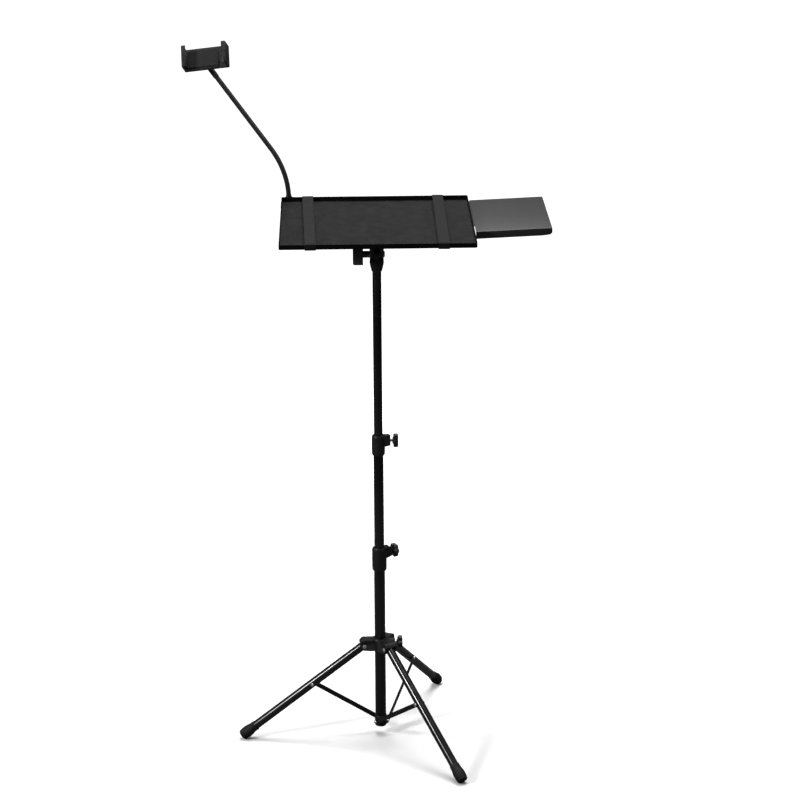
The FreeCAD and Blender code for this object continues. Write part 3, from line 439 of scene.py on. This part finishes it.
# ---------------------------------------------------------------- straps
def strap_loop(name):
    """Ribbed elastic loop round the tray with its sewn overlap underneath."""
    across_at, skew = STRAPS[name]
    half_d = TRAY_DEPTH / 2 + STRAP_CLEAR + STRAP_THICK / 2
    z0, z1 = -GAP - STRAP_THICK / 2, TRAY_LIP + GAP + STRAP_THICK / 2
    corner_r, path_step, selvedge = 0.0016, 0.004, 0.0008
    corners = rounded_rectangle(-half_d, half_d, z0, z1, corner_r, 6)
    path = []
    for (ya, za), (yb, zb) in zip(corners, corners[1:] + corners[:1]):
        steps = max(1, int(math.hypot(yb - ya, zb - za) / path_step))
        path += [(ya + (yb - ya) * k / steps, za + (zb - za) * k / steps) for k in range(steps)]
    ribs, per_rib = 11, 6
    bm = bmesh.new()
    uv_layer = bm.loops.layers.uv.new("UVMap")
    half_w, t = STRAP_WIDTH / 2, STRAP_THICK / 2
    outline = []
    for k in range(ribs * per_rib + 1):
        x = -half_w + STRAP_WIDTH * k / (ribs * per_rib)
        edge = min(1.0, (half_w - abs(x)) / selvedge)
        lift = 0.72 + 0.28 * abs(math.sin(math.pi * k / per_rib))
        outline.append((x, t * lift * (0.45 + 0.55 * edge)))
    section = outline + [(x, -h) for x, h in reversed(outline)]
    rings, spans, travelled = [], [], 0.0
    for i, (y, z) in enumerate(path):
        yp, zp = path[i - 1]
        yn, zn = path[(i + 1) % len(path)]
        tangent = Vector((0, yn - yp, zn - zp)).normalized()
        out = Vector((0, tangent.z, -tangent.y))
        ring = [bm.verts.new(Vector((x, y, z)) + out * h) for x, h in section]
        travelled += math.hypot(y - yp, z - zp) if i else 0.0
        rings.append(ring)
        spans.append(travelled)
    rings.append(rings[0])
    spans.append(travelled + math.hypot(path[0][0] - path[-1][0], path[0][1] - path[-1][1]))
    n = len(section)
    for j in range(len(rings) - 1):
        a, b = rings[j], rings[j + 1]
        for i in range(n):
            face = bm.faces.new((a[i], a[(i + 1) % n], b[(i + 1) % n], b[i]))
            across = [section[i][0], section[(i + 1) % n][0], section[(i + 1) % n][0], section[i][0]]
            along = [spans[j], spans[j], spans[j + 1], spans[j + 1]]
            for loop, u, v in zip(face.loops, across, along):
                loop[uv_layer].uv = (u * 1000, v * 1000)
    place = (TRAY @ Matrix.Translation((across_at, TRAY_SET_BACK, TRAY_RISE))
             @ Matrix.Rotation(math.radians(skew), 4, "Z"))
    add_piece(name + "_webbing", bm, WEBBING, "tray_body", [name], place, smooth=60)
    # sewn overlap and its bar tacks, underneath towards the back
    lap = bmesh.new()
    y0, y1, z = 0.095, 0.125, z0 - STRAP_THICK / 2
    narrower = 0.0004
    edge_points = rounded_rectangle(-half_w + narrower, half_w - narrower, y0, y1, 0.0006, 3)
    rings = [[lap.verts.new((x, y, z - d)) for x, y in edge_points] for d in (-0.0001, 0.0008)]
    ring_faces(lap, rings)
    add_piece(name + "_overlap", lap, WEBBING, "tray_body", (), place.copy(), smooth=40)
    tacks = bmesh.new()
    stitches, pitch, half_length, half_wide = 13, 0.0016, 0.00055, 0.00022
    for row in (y0 + 0.003, y0 + 0.006, y1 - 0.006, y1 - 0.003):
        for k in range(stitches):
            x = pitch * (k - (stitches - 1) / 2)
            stitch = rounded_rectangle(x - half_length, x + half_length, row - half_wide, row + half_wide,
                                       0.0002, 2)
            ring_faces(tacks, [[tacks.verts.new((px, py, z - d)) for px, py in stitch] for d in (0.0007, 0.00095)])
    add_piece(name + "_stitches", tacks, THREAD, "tray_body", (), place.copy(), smooth=40)


# ---------------------------------------------------------------- gooseneck
def gooseneck():
    """Spiral-wound arm: a fine helical ridge along the CAD's own line."""
    turn = math.acos(TRAY_UP.dot(NECK_END))
    tangent = NECK_BEND_R * math.tan(turn / 2)
    first, last = CORNER - TRAY_UP * tangent, CORNER + NECK_END * tangent
    centre = CORNER + (NECK_END - TRAY_UP).normalized() * (NECK_BEND_R / math.cos(turn / 2))
    in_ferrule, in_end_fitting = 0.0202, 0.024
    begin, end = SOCKET + TRAY_UP * in_ferrule, ELBOW - NECK_END * in_end_fitting
    axis = TRAY_UP.cross(NECK_END).normalized()
    step = 0.0005
    points = []
    length = (first - begin).length
    points += [begin + TRAY_UP * (length * k / 4) for k in range(4)]
    arc = NECK_BEND_R * turn
    count = int(arc / step)
    for k in range(count):
        q = Quaternion(axis, turn * k / count)
        points.append(centre + q @ (first - centre))
    length = (end - last).length
    count = int(length / step)
    points += [last + NECK_END * (length * k / count) for k in range(count + 1)]
    sides, pitch, groove = 28, 0.0026, 0.00018
    bm = bmesh.new()
    rings, travelled = [], 0.0
    previous = points[0]
    for p, _, normal, side in frames_along(points):
        travelled += (p - previous).length
        previous = p
        ring = []
        for k in range(sides):
            a = 2 * math.pi * k / sides
            wave = math.cos(2 * math.pi * (travelled / pitch) - a)
            r = NECK_R - groove * (0.5 - 0.5 * wave) ** 2
            ring.append(bm.verts.new(p + (normal * math.cos(a) + side * math.sin(a)) * r))
        rings.append(ring)
    ring_faces(bm, rings)
    add_piece("gooseneck_arm", bm, SHEATH, "phone_arm", ["gooseneck"], smooth=80)


# ---------------------------------------------------------------- tray
def tray_pan():
    """Pressed pan: bent corners, rolled lip, and the four threaded studs welded under it."""
    half_w, half_d = TRAY_WIDTH / 2, TRAY_DEPTH / 2
    t, lip = TRAY_SHEET, TRAY_LIP
    corner_r, least_r, bend, inner, roll = 0.0030, 0.0006, 0.0016, 0.0009, t / 2
    profile = []
    for k in range(6):
        a = math.radians(90 * k / 5)
        profile.append((bend - bend * math.sin(a), bend - bend * math.cos(a)))
    for k in range(9):
        a = math.radians(180 - 180 * k / 8)
        profile.append((roll + roll * math.cos(a), lip - roll + roll * math.sin(a)))
    for k in range(5):
        a = math.radians(90 * k / 4)
        profile.append((t + inner - inner * math.cos(a), t + inner - inner * math.sin(a)))
    bm = bmesh.new()
    rings = []
    for d, z in profile:
        points = rounded_rectangle(-half_w + d, half_w - d, TRAY_SET_BACK - half_d + d, TRAY_SET_BACK + half_d - d,
                                   max(corner_r - d, least_r), 8)
        rings.append([bm.verts.new((x, y, TRAY_RISE + z)) for x, y in points])
    ring_faces(bm, rings)
    stud_x, stud_y, crest, root, pitch = 0.034, 0.022, 0.0025, 0.0022, 0.0008
    stud = [(0.0021, -0.0095), (crest, -0.0091)]
    for k in range(9):
        z = -0.0087 + pitch * k
        stud += [(crest, z), (root, z + pitch / 2)]
    stud += [(crest, -0.0006), (crest, 0.0002)]
    circle = [(math.cos(2 * math.pi * k / 20), math.sin(2 * math.pi * k / 20)) for k in range(20)]
    for x in (-stud_x, stud_x):
        for y in (TRAY_SET_BACK - stud_y, TRAY_SET_BACK + stud_y):
            ring_faces(bm, [[bm.verts.new((x + r * c, y + r * d, TRAY_RISE + z)) for c, d in circle]
                            for r, z in stud])
    add_piece("tray_pan", bm, TRAY_COAT, "tray_body", ["tray"], TRAY, smooth=40)


def plate(name, outline, holes, thickness, bevel, material, body, replaces=(), place=None):
    """Flat plate with holes and softened rims, its underside on z = 0: outlines are lists of (x, y)."""
    curve = bpy.data.curves.new(name, "CURVE")
    curve.dimensions, curve.fill_mode = "2D", "BOTH"
    curve.extrude, curve.bevel_depth, curve.bevel_resolution = thickness / 2 - bevel, bevel, 2
    curve.offset = -bevel
    for points in [outline] + list(holes):
        spline = curve.splines.new("POLY")
        spline.points.add(len(points) - 1)
        for point, (x, y) in zip(spline.points, points):
            point.co = (x, y, 0, 1)
        spline.use_cyclic_u = True
    o = bpy.data.objects.new(name, curve)
    bpy.context.scene.collection.objects.link(o)
    bpy.context.view_layer.update()
    mesh = bpy.data.meshes.new_from_object(o)
    bpy.data.objects.remove(o)
    bm = bmesh.new()
    bm.from_mesh(mesh)
    bmesh.ops.remove_doubles(bm, verts=bm.verts, dist=0.000002)
    bmesh.ops.translate(bm, vec=(0, 0, thickness / 2), verts=bm.verts)
    add_piece(name, bm, material, body, replaces, place, smooth=40)


def slot_points(x0, x1, y, r, steps=12):
    """Outline of a slot with round ends at x0 and x1."""
    arc = [(r * math.sin(math.pi * k / steps), r * math.cos(math.pi * k / steps)) for k in range(steps + 1)]
    return [(x1 + u, y - v) for u, v in arc] + [(x0 - u, y + v) for u, v in arc]


# ---------------------------------------------------------------- side shelf
def side_shelf():
    """Bent satin pan with its slotted tongue."""
    edge = TRAY_WIDTH / 2 + SHELF_GAP
    back = TRAY_SET_BACK + TRAY_DEPTH / 2
    front, top = back - SHELF_DEPTH, TRAY_RISE - GAP
    corner_r, bend_r, tol = 0.007, 0.0019, 1e-5
    bm = bmesh.new()
    block(bm, 0, SHELF_WIDTH, front, back, -SHELF_FLANGE, 0)

    def picked(test):
        return [e for e in bm.edges if all(test(v.co) for v in e.verts)]

    def bevel(edges, width, segments):
        bmesh.ops.bevel(bm, geom=edges, offset=width, segments=segments, profile=0.5, affect="EDGES",
                        clamp_overlap=True)
    bevel(picked(lambda c: c.x > SHELF_WIDTH - tol and c.z < tol - SHELF_FLANGE), corner_r, 8)
    rim = [e for e in bm.edges
           if all(v.co.z > -tol for v in e.verts) and not all(v.co.x < tol for v in e.verts)]
    rim += [e for e in bm.edges if len(e.link_faces) == 2
            and abs(e.link_faces[0].normal.dot(e.link_faces[1].normal)) < 0.3
            and all(v.co.x > SHELF_WIDTH - corner_r - 0.0001 for v in e.verts)
            and not all(v.co.z > -tol for v in e.verts)
            and (all(v.co.y < front + tol for v in e.verts) or all(v.co.y > back - tol for v in e.verts))]
    bevel(list(set(rim)), bend_r, 4)
    bm.normal_update()
    # the underside and the side towards the tray are open
    gone = [f for f in bm.faces if f.normal.z < -0.35 or f.normal.x < -0.9]
    bmesh.ops.delete(bm, geom=gone, context="FACES")
    place = (TRAY @ Matrix.Translation((edge, 0, top)) @ Matrix.Rotation(math.radians(-SHELF_RISE), 4, "Y"))
    o = add_piece("shelf_pan", bm, SATIN, "shelf_body", ["side_shelf"], place, smooth=40)
    thick = o.modifiers.new("sheet", "SOLIDIFY")
    thick.thickness, thick.offset, thick.use_even_offset = SHELF_SHEET, -1, True
    soft = o.modifiers.new("rims", "BEVEL")
    soft.width, soft.segments, soft.limit_method, soft.angle_limit = 0.0004, 2, "ANGLE", math.radians(60)
    slot_r, x_slot = 0.003, TRAY_WIDTH / 2 - SHELF_KNOB_INSET
    slots = [slot_points(x_slot - SHELF_TRAVEL, x_slot, y, slot_r) for y in (front + 0.062, back - 0.034)]
    into_pan = 0.0012
    x0, x1 = TRAY_WIDTH / 2 - TONGUE_REACH, edge + into_pan
    outline = rounded_rectangle(x0, x1, front + TONGUE_FRONT_NOTCH, back - TONGUE_BACK_NOTCH, 0.003, 6)
    tongue_place = TRAY @ Matrix.Translation((0, 0, top - SHELF_SHEET))
    plate("shelf_tongue", outline, slots, SHELF_SHEET, 0.0002, SATIN, "shelf_body", (), tongue_place)


# ---------------------------------------------------------------- feet and knobs
def foot(side):
    """Rubber boot: ringed sole, bulged body and a banded cuff."""
    radial = polar(LEG_AZIMUTHS[side], 1, 0) - AXIS
    run, drop = FOOT_CIRCLE_R - LEG_PIVOT_R, HUB_Z - FOOT_END_Z
    axis = (radial * run - Vector((0, 0, drop))).normalized()
    end = polar(LEG_AZIMUTHS[side], FOOT_CIRCLE_R, FOOT_END_Z)
    # (radius, height) in millimetres from the sole up the outside, then down the bore
    sole = [(2.0, 0.5), (4.6, 0.5), (4.8, 0), (6.2, 0), (6.4, 0.5), (7.6, 0.5), (7.8, 0), (9.2, 0), (10.6, 0.8),
            (11.4, 2.2), (11.9, 4.6), (11.7, 5.0), (12.0, 5.5), (12.6, 10), (12.9, 15), (12.85, 18), (12.5, 21.5),
            (11.9, 25), (11.3, 27.8), (10.95, 29.2), (10.95, 29.8), (11.0, 30.2), (11.0, 31.8), (10.7, 32.2),
            (10.7, 33.2), (10.95, 33.6), (10.95, 35.2), (10.65, 35.6), (10.65, 36.6), (10.9, 37.0), (10.85, 38.4),
            (10.4, 39.6), (9.9, 39.95), (9.6, 39.6), (9.52, 38.5), (9.52, 6.0)]
    bm = lathe([(r * MM, z * MM) for r, z in sole], 72)
    add_piece(side + "_boot", bm, RUBBER, side + "_leg_body", [side + "_foot"],
              standing_on(end, -axis), smooth=50)


def star_knob(name, node_name, body, radius, lobe, thickness, neck, start, direction):
    """Six-lobed grip with rolled rims, a moulded washer face and a dished cap."""
    roll, cap_roll, neck_r, cap_r = 0.0017, 0.0006, radius * 0.55, radius * 0.52
    profile = [(neck_r, 0.0), (neck_r, neck)]
    for k in range(6):
        a = math.radians(90 * k / 5)
        profile.append((radius - roll + roll * math.sin(a), neck + roll - roll * math.cos(a)))
    for k in range(6):
        a = math.radians(90 * k / 5)
        profile.append((radius - roll + roll * math.cos(a), thickness - roll + roll * math.sin(a)))
    for k in range(5):
        a = math.radians(90 * k / 4)
        profile.append((cap_r + cap_roll * (1 - math.sin(a)), thickness - cap_roll * (1 - math.cos(a))))
    profile += [(radius * share, thickness - dish) for share, dish in ((0.50, 0.0011), (0.44, 0.0012), (0.2, 0.0009))]

    def lobed(r, z, a):
        share = max(0.0, (r / radius - 0.6) / 0.4)
        wave = math.cos(6 * a)
        return r + lobe * share * (wave if wave < 0 else wave * (1.15 - 0.15 * wave))
    bm = lathe(profile, 120, lobed)
    add_piece(name, bm, KNOB, body, [node_name], standing_on(start, direction), smooth=50)


def spread(azimuth):
    """Unit vector from the pole's axis."""
    return (polar(azimuth, 1, 0) - AXIS).normalized()


def knobs():
    """The three lock knobs on the pole and the one behind the tray."""
    for name, azimuth, start_r, z, body, radius in (("hub", 2.5, 0.0365, 0.2185, "hub_lock", 0.0120),
                                                    ("lower_collar", 27.0, 0.030, 0.427, "lower_lock", 0.0137),
                                                    ("upper_collar", 0.0, 0.030, 0.681, "upper_lock", 0.0137)):
        star_knob(name + "_star_knob", name + "_knob", body, radius, 0.0016, 0.0125, 0.002,
                  polar(azimuth, start_r, z), spread(azimuth))
    out = TRAY.to_3x3() @ Vector((0, 1, 0))
    start = TRAY @ Vector((ARM_X, TRAY_SET_BACK + TRAY_DEPTH / 2 + ARM_BEHIND + 0.0101, TRAY_RISE - 0.004))
    star_knob("arm_star_knob", "arm_lock_knob", "arm_lock", 0.008, 0.001, 0.010, 0.0015, start, out)


# ---------------------------------------------------------------- phone clamp, in its own frame and millimetres
CLAMP_HALF_H, PAD_HALF_H, CLAMP_BACK, CASE_END = 23.5, 19.5, 8, 28.0
CUP_R, BALL_ROOM, BALL_Y = 9.2, 6.3, 25.0


def rounded_outline(corners, steps=5):
    """Polygon from (x, y, radius) corners in millimetres, each turned into an arc."""
    out = []
    for i, (x, y, r) in enumerate(corners):
        p = Vector((x, y))
        before, after = Vector(corners[i - 1][:2]) - p, Vector(corners[(i + 1) % len(corners)][:2]) - p
        half = before.angle(after) / 2
        cut = min(r / math.tan(half), 0.49 * before.length, 0.49 * after.length)
        b, a = before.normalized(), after.normalized()
        centre = p + (a + b).normalized() * (cut / math.cos(half))
        start, end = p + b * cut - centre, p + a * cut - centre
        for k in range(steps + 1):
            out.append((centre + start.lerp(end, k / steps).normalized() * start.length) * MM)
    return out


def moved_in(outline, d):
    """Outline moved inward by d, corner by corner."""
    n = len(outline)
    area = sum(outline[i - 1].x * outline[i].y - outline[i].x * outline[i - 1].y for i in range(n))
    turn = 1 if area > 0 else -1
    out = []
    for i, p in enumerate(outline):
        e0, e1 = (p - outline[i - 1]).normalized(), (outline[(i + 1) % n] - p).normalized()
        n0, n1 = Vector((-e0.y, e0.x)) * turn, Vector((-e1.y, e1.x)) * turn
        both = (n0 + n1).normalized()
        out.append(p + both * (d / max(both.dot(n0), 0.5)))
    return out


def extruded(outline, z0, z1, rim, steps=4):
    """Closed prism along Z with rolled rims."""
    bm = bmesh.new()
    turns = [math.radians(90 * k / steps) for k in range(steps + 1)]
    levels = [(rim * (1 - math.sin(a)), z0 + rim * (1 - math.cos(a))) for a in turns]
    levels += [(rim * (1 - math.sin(a)), z1 - rim * (1 - math.cos(a))) for a in reversed(turns)]
    ring_faces(bm, [[bm.verts.new((q.x, q.y, z)) for q in moved_in(outline, d)] for d, z in levels])
    return bm


def solid(bm):
    """Temporary object for the booleans."""
    bmesh.ops.recalc_face_normals(bm, faces=bm.faces)
    mesh = bpy.data.meshes.new("solid")
    bm.to_mesh(mesh)
    bm.free()
    o = bpy.data.objects.new("solid", mesh)
    bpy.context.scene.collection.objects.link(o)
    return o


def combined(base, others):
    """base joined with or cut by the other solids, given as (operation, bmesh)."""
    o = solid(base)
    tools = []
    for operation, bm in others:
        tool = solid(bm)
        step = o.modifiers.new("step", "BOOLEAN")
        step.operation, step.solver, step.object = operation, "EXACT", tool
        tools.append(tool)
    bpy.context.view_layer.update()
    mesh = bpy.data.meshes.new_from_object(o.evaluated_get(bpy.context.evaluated_depsgraph_get()))
    out = bmesh.new()
    out.from_mesh(mesh)
    for old in [o] + tools:
        bpy.data.objects.remove(old)
    bmesh.ops.remove_doubles(out, verts=out.verts, dist=0.000003)
    return out


def box_mm(x0, x1, y0, y1, z0, z1):
    """Block from millimetres."""
    bm = bmesh.new()
    block(bm, *(v * MM for v in (x0, x1, y0, y1, z0, z1)))
    return bm


def jaw_outline(side, inner_end):
    """L-shaped section of a jaw with its back plate: side is -1 for the fixed jaw, 1 for the sliding jaw."""
    corners = [(42, 0, 1.6), (42, -22, 0.8), (38, -22.5, 1.15), (38, -25.0, 1.15), (43.5, -26, 6.0),
               (47.4, -24.6, 2.2), (48, CLAMP_BACK, 2.2), (inner_end, CLAMP_BACK, 0.6), (inner_end, 0, 0.6)]
    return rounded_outline([(side * x, y, r) for x, y, r in corners])


def phone_clamp():
    """Case with the fixed jaw and the ball's cup, sliding jaw with its slotted slide, ribbed pads."""
    half_h, rim = CLAMP_HALF_H * MM, 1.0 * MM
    cup = [(3.0, 6.5), (CUP_R, 6.5), (CUP_R, 22.8), (8.9, 23.3), (8.4, 23.5), (BALL_ROOM, 23.5)]
    for k in range(9):
        a = math.radians(76 * (1 - k / 8) + 1.5)
        cup.append((BALL_ROOM * math.sin(a), BALL_Y - BALL_ROOM * math.cos(a)))
    stem = lathe([(r * MM, y * MM) for r, y in cup], 56)
    bmesh.ops.transform(stem, verts=stem.verts, matrix=Matrix.Translation((SOCKET_X, 0, 0))
                        @ Matrix.Rotation(math.radians(-90), 4, "X"))
    cavity = box_mm(-36, CASE_END + 1, 2.6, 5.8, -PAD_HALF_H, PAD_HALF_H)
    case = combined(extruded(jaw_outline(-1, -CASE_END), -half_h, half_h, rim),
                    [("UNION", stem), ("DIFFERENCE", cavity)])
    add_piece("clamp_case", case, HOLDER_GREY, "phone_holder", ["holder_case"], HOLDER, smooth=38)
    slide = [("UNION", box_mm(-6, 30, 2.9, 5.5, -19.2, 19.2))]
    slide += [("DIFFERENCE", box_mm(-4, 24, 0, CLAMP_BACK, z - 3.4, z + 3.4)) for z in (-9, 9)]
    jaw = combined(extruded(jaw_outline(1, CASE_END + 0.3), -half_h, half_h, rim), slide)
    add_piece("clamp_sliding_jaw", jaw, HOLDER_GREY, "holder_jaw", ["holder_sliding_jaw"], HOLDER,
              smooth=38)
    base_x, crest_x, first_y, last_y, ribs = 40.75, 40.4, -2.6, -20.5, 7
    for name, side, body in (("fixed", -1, "phone_holder"), ("sliding", 1, "holder_jaw")):
        corners = [(42, last_y, 0.1), (42, first_y, 0.1)]
        for k in range(ribs):
            y = first_y + (last_y - first_y) * k / ribs
            corners += [(base_x, y, 0.3), (crest_x, y - 0.5, 0.4), (crest_x, y - 1.6, 0.4), (base_x, y - 2.1, 0.3)]
        outline = rounded_outline([(side * x, y, r) for x, y, r in corners], 2)
        add_piece("clamp_" + name + "_pad", extruded(outline, -PAD_HALF_H * MM, PAD_HALF_H * MM, 0.05 * MM, 1), FOAM,
                  body, ["holder_" + name + "_pad"], HOLDER, smooth=50)


def middle_glide():
    """Ring on the middle tube's hidden lower end; its bore lets the inner tube's ring pass."""
    section = [(9.85, 262.3), (10.15, 262.0), (10.65, 262.0), (10.95, 262.3), (10.95, 267.7), (10.65, 268.0),
               (10.15, 268.0), (9.85, 267.7)]
    bm = bmesh.new()
    rings = [[bm.verts.new(polar(360 * k / 72, r * MM, z * MM)) for k in range(72)] for r, z in section]
    ring_faces(bm, rings + rings[:1], cap=False)
    add_piece("middle_glide_ring", bm, MOULDED, "middle_section", ["middle_tube_glide"], smooth=50)


# ---------------------------------------------------------------- everything in place
for strap in STRAPS:
    strap_loop(strap)
gooseneck()
tray_pan()
side_shelf()
phone_clamp()
middle_glide()
for side in LEG_AZIMUTHS:
    foot(side)
knobs()
SOFT_EDGES = {0.0010: ["tilt_handle"],
              0.0009: ["leg_hub"],
              0.0008: ["head_socket"],
              0.0007: ["lower_collar", "upper_collar"],
              0.0006: ["pole_base", "tilt_bracket", "arm_bracket"],
              0.0005: ["holder_back_pad"],
              0.0004: ["left_brace", "front_brace", "back_brace", "holder_ball_ring", "neck_ferrule"],
              0.0003: ["outer_tube", "middle_tube", "top_tube", "shelf_knob_front", "shelf_knob_back"]}
for width, names in SOFT_EDGES.items():
    for name in names:
        soften(name, width)


# ---------------------------------------------------------------- floor, light and camera
def make_floor():
    """Round white floor; far from the stand it fades into the white room."""
    bm = bmesh.new()
    bmesh.ops.create_circle(bm, cap_ends=True, segments=96, radius=60)
    mesh = bpy.data.meshes.new("floor")
    bm.to_mesh(mesh)
    bm.free()
    floor = bpy.data.objects.new("floor", mesh)
    bpy.context.scene.collection.objects.link(floor)
    m, t, s = new_material("floor_paper", (0.93, 0.93, 0.93), 0.9, specular=0.1)
    paper = mix(t, noise(t, here(t), 3, 2), (0.925, 0.925, 0.925), (0.94, 0.94, 0.94))
    path = node(t, "ShaderNodeLightPath")
    t.links.new(mix(t, path.outputs["Is Camera Ray"], (0.10, 0.10, 0.10), paper), s.inputs["Base Color"])
    away = node(t, "ShaderNodeVectorMath", {0: here(t)}, operation="LENGTH").outputs["Value"]
    far = ramp(t, away, 0.9, 0.0, 2.6, 1.0)
    glow = node(t, "ShaderNodeMath", {0: far, 1: path.outputs["Is Camera Ray"]}, operation="MULTIPLY").outputs[0]
    s.inputs["Emission Color"].default_value = (1, 1, 1, 1)
    t.links.new(glow, s.inputs["Emission Strength"])
    mesh.materials.append(m)


def area_light(name, place, target, size, power):
    light = bpy.data.lights.new(name, "AREA")
    light.shape, light.size, light.size_y, light.energy = "RECTANGLE", size[0], size[1], power
    o = bpy.data.objects.new(name, light)
    o.location = place
    o.rotation_mode = "QUATERNION"
    o.rotation_quaternion = (Vector(target) - Vector(place)).to_track_quat("-Z", "Y")
    bpy.context.scene.collection.objects.link(o)


make_floor()
area_light("key", (-2.24, -1.44, 1.95), (0, 0, 0.3), (0.35, 0.5), 60)
area_light("fill", (2.6, -1.8, 2.4), (0, 0, 0.8), (0.3, 1.6), 14)
area_light("top", (0.1, 0.5, 3.8), (0, 0, 0.3), (2.4, 2.0), 190)
world = bpy.data.worlds.new("studio")
world.use_nodes = True
sky = world.node_tree
seen = node(sky, "ShaderNodeLightPath").outputs["Is Camera Ray"]
sky.links.new(ramp(sky, seen, 0, 0.13, 1, 1.0), sky.nodes["Background"].inputs["Strength"])
sky.nodes["Background"].inputs["Color"].default_value = (1, 1, 1, 1)
bpy.context.scene.world = world
bpy.context.scene.view_settings.view_transform = "Standard"

LENS, PITCH, HEADING, ROLL = 84.98, 14.815, 1.946, -0.344
CAMERA_FROM_AXIS = Vector((-0.0852, -3.8908, 1.7997))
camera_data = bpy.data.cameras.new("camera")
camera_data.lens, camera_data.sensor_width = LENS, 36.0
camera = bpy.data.objects.new("camera", camera_data)
camera.location = AXIS + CAMERA_FROM_AXIS
camera.rotation_mode = "QUATERNION"
camera.rotation_quaternion = (Euler((math.radians(90 - PITCH), 0, math.radians(-HEADING))).to_quaternion()
                              @ Quaternion((0, 0, 1), math.radians(ROLL)))
bpy.context.scene.collection.objects.link(camera)
bpy.context.scene.camera = camera
